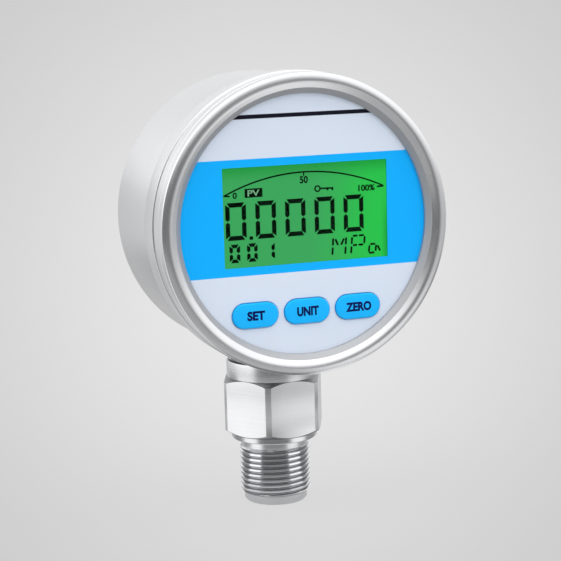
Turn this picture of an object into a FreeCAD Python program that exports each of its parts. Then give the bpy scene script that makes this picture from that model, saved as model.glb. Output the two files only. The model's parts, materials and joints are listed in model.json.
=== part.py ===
"""Digital pressure gauge: drum case, turned bezel, key front and threaded stem.

Millimetres, +Z up. The origin is the centre of the stem's nose, on the thread's axis.
The dial faces -Y. "Depth" is measured from the bezel's front plane, into the case, and
"dial place" is (across, up) from the dial's centre.
"""
import FreeCAD
import Part
import math
import os

# ---------------------------------------------------------------- driving sizes

# Stem, heights above the nose
THREAD_R = 10.0            # M20 x 1.5
THREAD_ROOT_R = 9.1
NOSE_R = 8.9
NOSE_LENGTH = 2.55
NOSE_CHAMFER = 0.6
THREAD_LENGTH = 13.7
NECK_LENGTH = 2.15         # undercut above the thread
WASHER_FACE_STEP = 1.05    # washer face inside the hexagon's flats
WASHER_FACE_HEIGHT = 1.65
HEX_ACROSS_FLATS = 26.4
HEX_CORNER_RISE = 1.6      # turned corners beyond the flats
HEX_HEIGHT = 16.55
HEX_TURN = 4.6             # degrees about the stem's axis
HEX_CHAMFER_ANGLE = 35.0
HEX_CHAMFER_START = 0.35   # height of the chamfer on the middle of a flat
COLLAR_STEP = 0.15         # collar inside the hexagon's flats
COLLAR_HEIGHT = 4.5
COLLAR_CHAMFER = 0.3
SPIGOT_R = 9.0             # threaded end that the inner nut grips
SPIGOT_LENGTH = 11.4
PORT_R = 2.0
PORT_LENGTH = 28.0
SENSOR_BORE_R = 7.2        # chamber of the measuring cell

# Measuring cell, heights above its seat
SENSOR_SHOULDER = 8.0
SENSOR_HEIGHT = 9.5
SENSOR_RECESS = 0.8
SENSOR_GROOVE_R = 5.9
SENSOR_GROOVE = (2.0, 4.2)
SENSOR_PIN_R = 0.3
SENSOR_PIN_LENGTH = 2.5
SENSOR_PIN_PLACES = (-1.95, -0.65, 0.65, 1.95)
RETAINER_HEIGHT = 4.5
RETAINER_HOLE_R = 4.6
RETAINER_SKIRT = 0.6       # thickness of the rim that stands on the cell's shoulder
SENSOR_LEDGE = 0.7         # width of the cell's shoulder
SENSOR_RECESS_WALL = 0.3
SENSOR_CLEARANCE = 0.1
RETAINER_SLOT = (1.6, 1.2)     # width, depth
RIBBON_WIDTH = 5.2
RIBBON_THICKNESS = 0.9
RIBBON_BEND_R = 5.0
NUT_WALL = 2.0             # spigot to the nut's flats
NUT_CORNER_RISE = 1.4
NUT_HEIGHT = 3.5
NUT_CLEARANCE = 1.5        # nut's flat to the cover's ring

# Case
DRUM_R = 39.35
DRUM_WALL = 1.0
CASE_DEPTH = 47.5          # bezel front to rear edge
STEM_SEAL_HEIGHT = 0.5
STEM_SEAL_INSET = 0.1      # seal's edge inside the boss face
BOSS_DROP = 1.22           # boss face below the drum's lowest line
BOSS_PLUG_R = 12.0         # plug through the drum's wall
BOSS_SHOULDER = 0.7        # boss face beyond the plug
BOSS_WELD = 3.3            # radius of the weld's fillet
BOSS_WELD_START = 1.4      # height of the straight face below the fillet
BOSS_WELD_TOP = 5.6
BOSS_INNER_RISE = 5.9      # boss face to its inner face
MOUTH_LIP = 2.75           # width of the turned-in front edge
MOUTH_CHAMFER = 0.5
REAR_EDGE_ROUND = 1.2
FLANGE_WIDTH = 7.35        # ring inside the case that carries the cover
FLANGE_THICKNESS = 1.5

# Bezel
BEZEL_SKIRT_WALL = 1.15    # drum to the skirt's outside
BEZEL_RIM_WALL = 0.9       # drum to the outside of the slimmer part in front
BEZEL_SKIRT_DEPTH = 15.5
BEZEL_OUTER_ROLL = 3.2     # radius of the face outside the crest
BEZEL_INNER_ROLL = 2.4     # radius of the face inside the crest
BEZEL_EDGE_ROUND = 0.5
BEZEL_TILT = 30.0          # degrees at which both rolls end
BEZEL_FACE_WIDTH = 2.2     # crest to the edge where the lip's cone starts
BEZEL_LIP_WIDTH = 1.5
BEZEL_LIP_FRONT = 2.1      # depth of the lip's front edge
BEZEL_LIP_BACK = 3.0       # depth of the lip's flat back
BEZEL_LINES = (3.8, 8.0)   # depths of the two fine turned lines on the skirt
BEZEL_LINE_DEPTH = 0.15
BEZEL_BORE_CHAMFER = 0.4

# Front
FILM_INSET = 0.75          # film's edge inside the drum's outside
FILM_THICKNESS = 0.3
PANEL_INSET = 0.55
PANEL_THICKNESS = 3.0
WINDOW_WIDTH = 46.5
WINDOW_HEIGHT = 26.4
WINDOW_CENTRE = (0.6, 2.9)
WINDOW_STEP = 1.75         # hidden margins of the clear window behind the film
WINDOW_STEP_UP = 1.8
WINDOW_FLANGE = 0.8
WINDOW_CORNER_R = 0.3
WINDOW_PLATE_CORNER_R = 0.8
WINDOW_SINK = 0.05         # clear face behind the film's
WINDOW_POCKET_PLAY = 0.3   # clear plate in the panel's opening, both sides together
FILM_KEY_GAP = 0.25        # film's openings round the keys
PANEL_CHAMFER = 0.3
DISPLAY_GLASS = 1.1        # each of the cell's two plates
DISPLAY_LEDGE = 3.2        # contact ledge along the cell's lower edge
DISPLAY_INSET = 0.1        # cell's edge inside the clear plate's
BACKLIGHT_THICKNESS = 3.0
BACKLIGHT_INSET = 0.6      # light guide inside the cell's edge
LAMP_SIZE = (3.0, 12.0)
FRAME_WALL = 2.0
FRAME_CLEARANCE = 0.2      # frame round the cell
FRAME_CORNER_R = 1.0
FRAME_SHELF = (3.0, 20.0)      # ledge that the light guide rests on
PIN_COUNT = 12
PIN_SIZE = (0.5, 0.5)
PIN_END_MARGIN = 3.0       # end pins inside the cell's ends
PIN_EDGE_MARGIN = 1.0

# Keys
KEY_WIDTH = 12.8
KEY_HEIGHT = 6.7
KEY_GAP = 1.84             # between neighbouring keys
KEY_EDGE_MARGIN = 2.175    # ends of the outer keys to the bezel's lip
KEY_PROUD = 0.85           # key tops in front of the film
KEY_TOP_CHAMFER = 0.4
KEY_FLANGE_MARGIN = 0.6
KEY_FLANGE = 0.8
KEY_TRAVEL = 0.4
KEY_NAMES = ("set", "unit", "zero")
SWITCH_SIZE = 6.0
SWITCH_HEIGHT = 3.5
PLUNGER_R = 1.6
PLUNGER_ENTRY = 1.4
PLUNGER_SPARE = 0.3        # well's floor behind the pressed plunger
SWITCH_FOOT = (1.0, 0.6)
SWITCH_FOOT_UP = 2.2

# Board
BOARD_CLEARANCE = 3.15     # board's edge to the drum's wall
BOARD_THICKNESS = 1.6
PILLAR_R = 2.6
PILLAR_INSET = 2.333       # lower pillars' centres inside the board's edge
PILLAR_MARGIN = 6.46       # lower pillars beyond the ends of the key row
PILLAR_HOLE_R = 1.05
PILLAR_HOLE_DEPTH = 4.6
BOARD_HOLE_R = 1.35
BOARD_SCREW_SHANK = (1.0, 4.2)     # radius, length in the pillar
BOARD_SCREW_HEAD = (2.2, 1.6)      # radius, height
BOARD_SCREW_SLOT = (3.2, 0.6, 0.7)     # length, width, depth
CHIP_STANDOFF = 0.2
CHIP_BODY = 1.5
CHIP_LEAD = (0.5, 1.2)
CONTROLLER_SIZE = (10.0, 7.5)
CONTROLLER_PLACE = (-15.0, -11.0)
CONVERTER_SIZE = (6.0, 4.4)
CONVERTER_PLACE = (11.5, -11.0)
CRYSTAL_END_R = 1.7
CRYSTAL_REACH = 2.4        # centre to the middle of each round end
CRYSTAL_HEIGHT = 3.5
CRYSTAL_UP = -9.0
CAPACITOR_PLACES = ((26.0, -9.0), (20.5, -7.5), (-26.0, -9.0))
CAPACITOR_BASE = (4.4, 4.4)
CAPACITOR_BASE_HEIGHT = 0.8
CAPACITOR_R = 2.0
CAPACITOR_HEIGHT = 5.4
UPPER_PILLAR = (20.5, 25.0)
BOARD_GAP = 5.7            # back of the panel to the board
SOCKET_UP = -20.2          # the sensor ribbon's socket, below the dial's centre
SOCKET_SIZE = (8.4, 4.5)
SOCKET_HEIGHT = 5.0

# Power
CELL_R = 5.25
CELL_LENGTH = 44.5
CELL_NUB_R = 1.9
CELL_NUB = 0.8
HOLDER_WALL = 1.2
HOLDER_RIB = 0.6
HOLDER_HEIGHT = 9.5
HOLDER_CENTRE_UP = 10.1
HOLDER_CORNER_R = 1.0
HOLDER_NOTCH = (16.0, 6.0)     # finger notch: width, height of its floor above the board
CELL_POCKET_PLAY = 0.4
CONTACT_SPACE = 2.05       # cell end to holder wall
CONTACT_LEAF = 0.4
CONTACT_HALF_WIDTH = 3.0
CONTACT_FRONT = 4.5        # leaf's ends, in front of and behind the cell's axis
CONTACT_BACK = 4.0
CONTACT_NOSE = 0.5         # half the length of the nose that touches the cell
CONTACT_BEND = 3.0         # cell's axis to the leaf's front bend

# Cover
COVER_EDGE = 1.45          # cover's edge inside the drum's outside
COVER_THICKNESS = 1.5
COVER_INSET = 0.1          # cover face below the drum's rear edge
COVER_BORDER = 12.4        # raised border round the recess
COVER_PANEL_STEP = 0.5
COVER_GASKET = 0.5
GASKET_EDGE = 0.1          # cover's edge beyond the gasket
GASKET_REVEAL = 0.3        # ring's inner edge inside the gasket
COVER_SCREW_INSET = 3.3    # screw circle inside the cover's edge
COVER_SCREW_COUNT = 4
SCREW_HEAD_R = 2.7
SCREW_SHANK_R = 1.2
SCREW_PROJECTION = 1.2     # shank's end in front of the cover's ring
SCREW_RECESS = (3.0, 0.7, 0.9)     # cross recess: length, width, depth
COVER_CLEARANCE = 0.1      # cover in the drum's rear opening
COVER_CHAMFER = 0.3
COVER_PANEL_SLOPE = 0.8    # width of the slope into the recess
GASKET_SCREW_CLEARANCE = 0.2

# Gasket and clearances
FRONT_GASKET = 1.0
FRONT_GASKET_REVEAL = 0.2  # case's front edge inside the gasket
SLIDE_CLEARANCE = 0.1      # key cap in its hole, each side
RUNNING_CLEARANCE = 0.05   # turned parts in their bores
REST_GAP = 0.05            # key flange behind the panel, plunger behind the key
SEAT_GAP = 0.1             # between the display's loose plates

# ---------------------------------------------------------------- derived places

Z_THREAD = NOSE_LENGTH
Z_NECK = Z_THREAD + THREAD_LENGTH
Z_WASHER_FACE = Z_NECK + NECK_LENGTH
Z_HEX = Z_WASHER_FACE + WASHER_FACE_HEIGHT
Z_COLLAR = Z_HEX + HEX_HEIGHT
Z_COLLAR_TOP = Z_COLLAR + COLLAR_HEIGHT
Z_BOSS_FACE = Z_COLLAR_TOP + STEM_SEAL_HEIGHT
Z_BOSS_INNER = Z_BOSS_FACE + BOSS_INNER_RISE
Z_SPIGOT_TOP = Z_COLLAR_TOP + SPIGOT_LENGTH
Z_SENSOR = PORT_LENGTH
Z_SENSOR_SHOULDER = Z_SENSOR + SENSOR_SHOULDER
Z_SENSOR_TOP = Z_SENSOR + SENSOR_HEIGHT
Z_PIN_TOP = Z_SENSOR_TOP + SENSOR_PIN_LENGTH
Z_RETAINER_TOP = Z_SENSOR_SHOULDER + RETAINER_HEIGHT
SENSOR_R = SENSOR_BORE_R - SENSOR_CLEARANCE
DIAL_Z = Z_BOSS_FACE + BOSS_DROP + DRUM_R

WASHER_FACE_R = HEX_ACROSS_FLATS / 2 - WASHER_FACE_STEP
HEX_CORNER_R = HEX_ACROSS_FLATS / 2 + HEX_CORNER_RISE
COLLAR_R = HEX_ACROSS_FLATS / 2 - COLLAR_STEP
NUT_ACROSS_FLATS = 2 * (SPIGOT_R + NUT_WALL)
NUT_CORNER_R = NUT_ACROSS_FLATS / 2 + NUT_CORNER_RISE
BOSS_FACE_R = BOSS_PLUG_R + BOSS_SHOULDER
BOSS_FLARE_R = BOSS_FACE_R + BOSS_WELD

DRUM_INNER_R = DRUM_R - DRUM_WALL
MOUTH_R = DRUM_R - MOUTH_LIP
FLANGE_INNER_R = DRUM_INNER_R - FLANGE_WIDTH
BOARD_R = DRUM_INNER_R - BOARD_CLEARANCE
FILM_R = DRUM_R - FILM_INSET
PANEL_R = DRUM_R - PANEL_INSET
COVER_R = DRUM_R - COVER_EDGE
COVER_PANEL_R = COVER_R - COVER_BORDER
COVER_SCREW_CIRCLE_R = COVER_R - COVER_SCREW_INSET
BEZEL_SKIRT_R = DRUM_R + BEZEL_SKIRT_WALL
BEZEL_RIM_R = DRUM_R + BEZEL_RIM_WALL
BEZEL_EDGE_R = BEZEL_RIM_R - BEZEL_EDGE_ROUND
BEZEL_CREST_R = BEZEL_EDGE_R - (BEZEL_OUTER_ROLL - BEZEL_EDGE_ROUND) * math.sin(math.radians(BEZEL_TILT))
BEZEL_FACE_R = BEZEL_CREST_R - BEZEL_FACE_WIDTH
BEZEL_LIP_R = BEZEL_FACE_R - BEZEL_LIP_WIDTH

FILM_FRONT = BEZEL_LIP_BACK
PANEL_FRONT = FILM_FRONT + FILM_THICKNESS
PANEL_BACK = PANEL_FRONT + PANEL_THICKNESS
MOUTH_DEPTH = PANEL_BACK + FRONT_GASKET
BOARD_FRONT = PANEL_BACK + BOARD_GAP
BOARD_BACK = BOARD_FRONT + BOARD_THICKNESS
COVER_BACK = CASE_DEPTH - COVER_INSET
COVER_FRONT = COVER_BACK - COVER_THICKNESS
FLANGE_BACK = COVER_FRONT - COVER_GASKET
FLANGE_FRONT = FLANGE_BACK - FLANGE_THICKNESS
STEM_DEPTH = FLANGE_FRONT - NUT_CLEARANCE - NUT_ACROSS_FLATS / 2
FRONT_Y = -STEM_DEPTH

WINDOW_PLATE = (WINDOW_WIDTH + 2 * WINDOW_STEP, WINDOW_HEIGHT + 2 * WINDOW_STEP_UP)
DISPLAY_FRONT = PANEL_FRONT + WINDOW_FLANGE + SEAT_GAP
DISPLAY_BACK = DISPLAY_FRONT + 2 * DISPLAY_GLASS
BACKLIGHT_FRONT = DISPLAY_BACK + SEAT_GAP

KEY_PITCH = KEY_WIDTH + KEY_GAP
KEY_END_CIRCLE_R = BEZEL_LIP_R - KEY_EDGE_MARGIN - KEY_HEIGHT / 2
KEY_DROP = math.sqrt(KEY_END_CIRCLE_R ** 2 - (KEY_PITCH + (KEY_WIDTH - KEY_HEIGHT) / 2) ** 2)
KEY_PLACES = {
    name: ((index - 1) * KEY_PITCH, -KEY_DROP) for index, name in enumerate(KEY_NAMES)
}
PILLAR_ACROSS = KEY_PITCH + KEY_WIDTH / 2 + PILLAR_MARGIN
LOWER_PILLAR = (PILLAR_ACROSS, -math.sqrt((BOARD_R - PILLAR_INSET) ** 2 - PILLAR_ACROSS ** 2))
PILLAR_PLACES = [(side * across, up) for across, up in (UPPER_PILLAR, LOWER_PILLAR) for side in (1, -1)]
KEY_TOP = FILM_FRONT - KEY_PROUD
KEY_FLANGE_FRONT = PANEL_BACK + REST_GAP
KEY_BACK = KEY_FLANGE_FRONT + KEY_FLANGE
PLUNGER_FRONT = KEY_BACK + REST_GAP
SWITCH_FRONT = BOARD_FRONT - SWITCH_HEIGHT

CELL_FLOOR_DEPTH = BOARD_BACK + HOLDER_WALL
CELL_AXIS_DEPTH = CELL_FLOOR_DEPTH + CELL_R + RUNNING_CLEARANCE
CELL_POCKET = 2 * CELL_R + CELL_POCKET_PLAY
CELL_PITCH = CELL_POCKET + HOLDER_RIB


# ---------------------------------------------------------------- drawing helpers

def vector(x, y, z):
    """A point or direction."""
    return FreeCAD.Vector(x, y, z)


def dial_point(across, up, depth):
    """Point in the row frame from a dial place and a depth."""
    return vector(across, FRONT_Y + depth, DIAL_Z + up)


def outline(steps, place):
    """Closed wire. A step is a point, or (middle, end) for an arc through middle."""
    edges = []
    first = start = place(*steps[0])
    for step in steps[1:] + [steps[0]]:
        if isinstance(step[0], tuple):
            middle, end = (place(*point) for point in step)
            edges.append(Part.Arc(start, middle, end).toShape())
        else:
            end = place(*step)
            if start.distanceToPoint(end) > 1e-6:
                edges.append(Part.LineSegment(start, end).toShape())
        start = end
    if start.distanceToPoint(first) > 1e-6:
        raise ValueError("outline doesn't close")
    return Part.Wire(edges)


def bend(centre, radius, start, end, steps):
    """Points along a round stretch of an outline; angles in degrees."""
    points = []
    for index in range(steps + 1):
        angle = math.radians(start + (end - start) * index / steps)
        points.append((centre[0] + radius * math.cos(angle), centre[1] + radius * math.sin(angle)))
    return points


def outward(solid):
    """The solid with its faces pointing outwards."""
    return solid.reversed() if solid.Volume < 0 else solid


def turned_on_stem(steps):
    """Solid of revolution about the stem's axis from (radius, height) steps."""
    face = Part.Face(outline(steps, lambda r, z: vector(r, 0, z)))
    return outward(face.revolve(vector(0, 0, 0), vector(0, 0, 1), 360))


def turned_on_dial(steps):
    """Solid of revolution about the dial's axis from (radius, depth) steps."""
    face = Part.Face(outline(steps, lambda r, depth: dial_point(r, 0, depth)))
    return outward(face.revolve(vector(0, 0, DIAL_Z), vector(0, 1, 0), 360))


def extruded(steps, front, back):
    """Prism through the dial from (across, up) steps, between two depths."""
    face = Part.Face(outline(steps, lambda across, up: dial_point(across, up, front)))
    return outward(face.extrude(vector(0, back - front, 0)))


def disc(radius, front, back, place=(0, 0)):
    """Round plate or rod parallel to the dial's axis."""
    base = dial_point(place[0], place[1], front)
    return Part.makeCylinder(radius, back - front, base, vector(0, 1, 0))


def ring(outer, inner, front, back, place=(0, 0)):
    """Flat ring parallel to the dial."""
    return disc(outer, front, back, place).cut(disc(inner, front, back, place))


def block(size, place, front, back):
    """Rectangular block centred on a dial place, between two depths."""
    width, height = size
    corner = dial_point(place[0] - width / 2, place[1] - height / 2, front)
    return Part.makeBox(width, back - front, height, corner)


def rounded_plate(size, radius, place, front, back):
    """Rectangular plate with round corners."""
    half_w, half_h = size[0] / 2, size[1] / 2
    cut = radius * (1 - math.sqrt(0.5))
    x, z = place
    right, left, top, bottom = x + half_w, x - half_w, z + half_h, z - half_h
    steps = [
        (right, bottom + radius),
        (right, top - radius),
        ((right - cut, top - cut), (right - radius, top)),
        (left + radius, top),
        ((left + cut, top - cut), (left, top - radius)),
        (left, bottom + radius),
        ((left + cut, bottom + cut), (left + radius, bottom)),
        (right - radius, bottom),
        ((right - cut, bottom + cut), (right, bottom + radius)),
    ]
    return extruded(steps, front, back)


def pill(margin, place, front, back):
    """Key-shaped plate, larger than the key by a margin all round."""
    radius = KEY_HEIGHT / 2 + margin
    reach = (KEY_WIDTH - KEY_HEIGHT) / 2
    x, z = place
    steps = [
        (x - reach, z - radius),
        (x + reach, z - radius),
        ((x + reach + radius, z), (x + reach, z + radius)),
        (x - reach, z + radius),
        ((x - reach - radius, z), (x - reach, z - radius)),
    ]
    return extruded(steps, front, back)


def fused(first, others):
    """Union with the seams between coplanar faces removed."""
    return first.fuse(others).removeSplitter()


def hexagon(across_flats, bottom, top, turn):
    """Hexagonal prism on the stem's axis; turn 0 points a corner along X."""
    corner_r = across_flats / math.sqrt(3)
    corners = []
    for index in range(6):
        angle = math.radians(60 * index + turn)
        corners.append(vector(corner_r * math.cos(angle), corner_r * math.sin(angle), bottom))
    wire = Part.makePolygon(corners + corners[:1])
    return outward(Part.Face(wire).extrude(vector(0, 0, top - bottom)))


def chamfered_hexagon(across_flats, corner_r, bottom, top, turn):
    """Hexagon whose corners are turned down and chamfered at both ends."""
    flat_r = across_flats / 2
    slope = math.tan(math.radians(HEX_CHAMFER_ANGLE))
    drop = (corner_r - flat_r) * slope + HEX_CHAMFER_START
    end_r = corner_r - drop / slope
    envelope = turned_on_stem([
        (0, bottom), (end_r, bottom), (corner_r, bottom + drop),
        (corner_r, top - drop), (end_r, top), (0, top),
    ])
    return hexagon(across_flats, bottom, top, turn).common(envelope)


# ---------------------------------------------------------------- stem

def process_connector():
    """One turned bar: nose, thread, neck, washer face, hexagon, collar and spigot."""
    edge = COLLAR_CHAMFER
    thread_run = THREAD_R - THREAD_ROOT_R
    turned = turned_on_stem([
        (0, 0),
        (NOSE_R - NOSE_CHAMFER, 0),
        (NOSE_R, NOSE_CHAMFER),
        (NOSE_R, Z_THREAD),
        (THREAD_ROOT_R, Z_THREAD),
        (THREAD_R, Z_THREAD + thread_run),
        (THREAD_R, Z_NECK - thread_run),
        (THREAD_ROOT_R, Z_NECK),
        (THREAD_ROOT_R, Z_WASHER_FACE),
        (WASHER_FACE_R - edge, Z_WASHER_FACE),
        (WASHER_FACE_R, Z_WASHER_FACE + edge),
        (WASHER_FACE_R, Z_HEX + 1),
        (COLLAR_R, Z_HEX + 1),
        (COLLAR_R, Z_COLLAR_TOP - edge),
        (COLLAR_R - edge, Z_COLLAR_TOP),
        (SPIGOT_R, Z_COLLAR_TOP),
        (SPIGOT_R, Z_SPIGOT_TOP - edge),
        (SPIGOT_R - edge, Z_SPIGOT_TOP),
        (0, Z_SPIGOT_TOP),
    ])
    wrench_faces = chamfered_hexagon(HEX_ACROSS_FLATS, HEX_CORNER_R, Z_HEX, Z_COLLAR, HEX_TURN)
    cone = SENSOR_BORE_R - PORT_R
    bore = turned_on_stem([
        (0, -1), (PORT_R, -1), (PORT_R, PORT_LENGTH), (PORT_R + cone / 2, PORT_LENGTH),
        (SENSOR_BORE_R, PORT_LENGTH), (SENSOR_BORE_R, Z_SPIGOT_TOP + 1),
        (0, Z_SPIGOT_TOP + 1),
    ])
    return fused(turned, [wrench_faces]).cut(bore).removeSplitter()


def stem_seal():
    """Flat washer between the collar and the boss."""
    inner = SPIGOT_R + RUNNING_CLEARANCE
    outer = BOSS_FACE_R - STEM_SEAL_INSET
    return turned_on_stem([
        (inner, Z_COLLAR_TOP), (outer, Z_COLLAR_TOP), (outer, Z_BOSS_FACE), (inner, Z_BOSS_FACE),
    ])


def stem_boss():
    """Bush welded into the drum, with a fillet that follows the drum outside."""
    bore_r = SPIGOT_R + RUNNING_CLEARANCE
    flare_top = Z_BOSS_FACE + BOSS_WELD_TOP
    flare = turned_on_stem([
        (bore_r, Z_BOSS_FACE),
        (BOSS_FACE_R, Z_BOSS_FACE),
        *bend((BOSS_FLARE_R, Z_BOSS_FACE + BOSS_WELD_START), BOSS_WELD, 180, 95, 4),
        (BOSS_FLARE_R, flare_top),
        (bore_r, flare_top),
    ])
    drum = disc(DRUM_R + RUNNING_CLEARANCE, 0, CASE_DEPTH)
    plug = turned_on_stem([
        (bore_r, Z_BOSS_FACE), (BOSS_PLUG_R, Z_BOSS_FACE),
        (BOSS_PLUG_R, Z_BOSS_INNER), (bore_r, Z_BOSS_INNER),
    ])
    return fused(flare.cut(drum), [plug])


def stem_nut():
    """Flat nut that clamps the stem from inside the case."""
    nut = chamfered_hexagon(NUT_ACROSS_FLATS, NUT_CORNER_R, Z_BOSS_INNER, Z_BOSS_INNER + NUT_HEIGHT, 0)
    base = vector(0, 0, Z_BOSS_INNER)
    return nut.cut(Part.makeCylinder(SPIGOT_R + RUNNING_CLEARANCE, NUT_HEIGHT, base))


def sensor_capsule():
    """Welded measuring cell with a diaphragm recess and a seal groove."""
    groove_bottom, groove_top = (Z_SENSOR + height for height in SENSOR_GROOVE)
    recess_r = SENSOR_GROOVE_R - SENSOR_RECESS_WALL
    return turned_on_stem([
        (0, Z_SENSOR + SENSOR_RECESS),
        (recess_r, Z_SENSOR + SENSOR_RECESS),
        (recess_r, Z_SENSOR),
        (SENSOR_R, Z_SENSOR),
        (SENSOR_R, groove_bottom),
        (SENSOR_GROOVE_R, groove_bottom),
        (SENSOR_GROOVE_R, groove_top),
        (SENSOR_R, groove_top),
        (SENSOR_R, Z_SENSOR_SHOULDER),
        (SENSOR_R - SENSOR_LEDGE, Z_SENSOR_SHOULDER),
        (SENSOR_R - SENSOR_LEDGE, Z_SENSOR_TOP),
        (0, Z_SENSOR_TOP),
    ])


def sensor_seal():
    """O-ring in the cell's groove."""
    section_r = (SENSOR_BORE_R - SENSOR_GROOVE_R) / 2 - RUNNING_CLEARANCE
    centre = ((SENSOR_BORE_R + SENSOR_GROOVE_R) / 2, Z_SENSOR + sum(SENSOR_GROOVE) / 2)
    return turned_on_stem(bend(centre, section_r, 22.5, 337.5, 7))


def sensor_pins():
    """Four glass-sealed pins on the back of the cell."""
    pins = []
    for x in SENSOR_PIN_PLACES:
        pins.append(Part.makeCylinder(SENSOR_PIN_R, SENSOR_PIN_LENGTH, vector(x, 0, Z_SENSOR_TOP)))
    return Part.makeCompound(pins)


def sensor_retainer():
    """Threaded ring that clamps the cell, with a spanner slot across it."""
    lip = Z_SENSOR_TOP + RUNNING_CLEARANCE
    skirt_r = SENSOR_R - RETAINER_SKIRT
    collar = turned_on_stem([
        (skirt_r, Z_SENSOR_SHOULDER), (SENSOR_R, Z_SENSOR_SHOULDER),
        (SENSOR_R, Z_RETAINER_TOP), (RETAINER_HOLE_R, Z_RETAINER_TOP),
        (RETAINER_HOLE_R, lip), (skirt_r, lip),
    ])
    width, sink = RETAINER_SLOT
    corner = vector(-SENSOR_BORE_R, -width / 2, Z_RETAINER_TOP - sink)
    return collar.cut(Part.makeBox(2 * SENSOR_BORE_R, width, sink + 1, corner))


def sensor_ribbon():
    """Flat four-core ribbon from the cell's pins, up and forward to the socket on the board."""
    half = RIBBON_THICKNESS / 2
    socket_z = DIAL_Z + SOCKET_UP
    socket_y = FRONT_Y + BOARD_BACK + SOCKET_HEIGHT
    centre = (-RIBBON_BEND_R, socket_z - RIBBON_BEND_R)
    outer = bend(centre, RIBBON_BEND_R + half, 0, 90, 6)
    inner = bend(centre, RIBBON_BEND_R - half, 90, 0, 6)
    steps = [(half, Z_PIN_TOP)] + outer + [(socket_y, socket_z + half)]
    steps += [(socket_y, socket_z - half)] + inner + [(-half, Z_PIN_TOP)]
    face = Part.Face(outline(steps, lambda y, z: vector(-RIBBON_WIDTH / 2, y, z)))
    return outward(face.extrude(vector(RIBBON_WIDTH, 0, 0)))


# ---------------------------------------------------------------- case

def case_shell():
    """Drawn drum with a turned-in front edge and a ring inside that carries the cover."""
    lip_r = COVER_R + COVER_CLEARANCE
    round_centre = (DRUM_R - REAR_EDGE_ROUND, CASE_DEPTH - REAR_EDGE_ROUND)
    shell = turned_on_dial([
        (MOUTH_R, MOUTH_DEPTH),
        (DRUM_R - MOUTH_CHAMFER, MOUTH_DEPTH),
        (DRUM_R, MOUTH_DEPTH + MOUTH_CHAMFER),
        *bend(round_centre, REAR_EDGE_ROUND, 0, 90, 3),
        (lip_r, CASE_DEPTH),
        (lip_r, FLANGE_BACK),
        (FLANGE_INNER_R, FLANGE_BACK),
        (FLANGE_INNER_R, FLANGE_FRONT),
        (DRUM_INNER_R, FLANGE_FRONT),
        (DRUM_INNER_R, MOUTH_DEPTH + DRUM_WALL),
        (MOUTH_R, MOUTH_DEPTH + DRUM_WALL),
    ])
    stem_hole = Part.makeCylinder(BOSS_PLUG_R + RUNNING_CLEARANCE, DRUM_R, vector(0, 0, Z_BOSS_FACE - 2))
    holes = [disc(SCREW_SHANK_R + RUNNING_CLEARANCE, FLANGE_FRONT - 1, FLANGE_BACK + 1, place)
             for place in cover_screw_places()]
    return shell.cut([stem_hole] + holes)


def bezel_ring():
    """Turned ring: rolled crest, inner face, lip and a skirt over the drum."""
    bore_r = DRUM_R + RUNNING_CLEARANCE
    tilt = math.radians(BEZEL_TILT)
    edge_depth = BEZEL_OUTER_ROLL - (BEZEL_OUTER_ROLL - BEZEL_EDGE_ROUND) * math.cos(tilt)
    roll_end_r = BEZEL_CREST_R - BEZEL_INNER_ROLL * math.sin(tilt)
    roll_end_depth = BEZEL_INNER_ROLL * (1 - math.cos(tilt))
    face_depth = roll_end_depth + (roll_end_r - BEZEL_FACE_R) * math.tan(tilt)
    first_line, second_line = BEZEL_LINES
    cut = BEZEL_LINE_DEPTH
    return turned_on_dial([
        (BEZEL_LIP_R, BEZEL_LIP_BACK),
        (BEZEL_LIP_R, BEZEL_LIP_FRONT),
        (BEZEL_FACE_R, face_depth),
        *bend((BEZEL_CREST_R, BEZEL_INNER_ROLL), BEZEL_INNER_ROLL, 270 - BEZEL_TILT, 270, 2),
        *bend((BEZEL_CREST_R, BEZEL_OUTER_ROLL), BEZEL_OUTER_ROLL, 270, 270 + BEZEL_TILT, 3),
        *bend((BEZEL_EDGE_R, edge_depth), BEZEL_EDGE_ROUND, 270 + BEZEL_TILT, 360, 3),
        (BEZEL_RIM_R, first_line - cut),
        (BEZEL_RIM_R - cut, first_line),
        (BEZEL_RIM_R, first_line + cut),
        (BEZEL_RIM_R, second_line - cut),
        (BEZEL_RIM_R - cut, second_line),
        (BEZEL_SKIRT_R, second_line + cut),
        (BEZEL_SKIRT_R, BEZEL_SKIRT_DEPTH - BEZEL_EDGE_ROUND),
        (BEZEL_SKIRT_R - BEZEL_EDGE_ROUND, BEZEL_SKIRT_DEPTH),
        (bore_r, BEZEL_SKIRT_DEPTH),
        (bore_r, BEZEL_LIP_BACK + BEZEL_BORE_CHAMFER),
        (bore_r - BEZEL_BORE_CHAMFER, BEZEL_LIP_BACK),
    ])


def front_gasket():
    """Rubber ring between the panel and the case's front edge."""
    return ring(PANEL_R, MOUTH_R + FRONT_GASKET_REVEAL, PANEL_BACK, MOUTH_DEPTH)


def cover_screw_places():
    """Dial places of the cover screws."""
    places = []
    for index in range(COVER_SCREW_COUNT):
        angle = math.radians(45 + 360 / COVER_SCREW_COUNT * index)
        places.append((COVER_SCREW_CIRCLE_R * math.cos(angle), COVER_SCREW_CIRCLE_R * math.sin(angle)))
    return places


def countersink(place, clearance):
    """Cone of a flat screw head, flush with the cover's outer face."""
    base = dial_point(place[0], place[1], COVER_FRONT)
    return Part.makeCone(SCREW_SHANK_R + clearance, SCREW_HEAD_R + clearance, COVER_THICKNESS,
                         base, vector(0, 1, 0))


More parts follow.
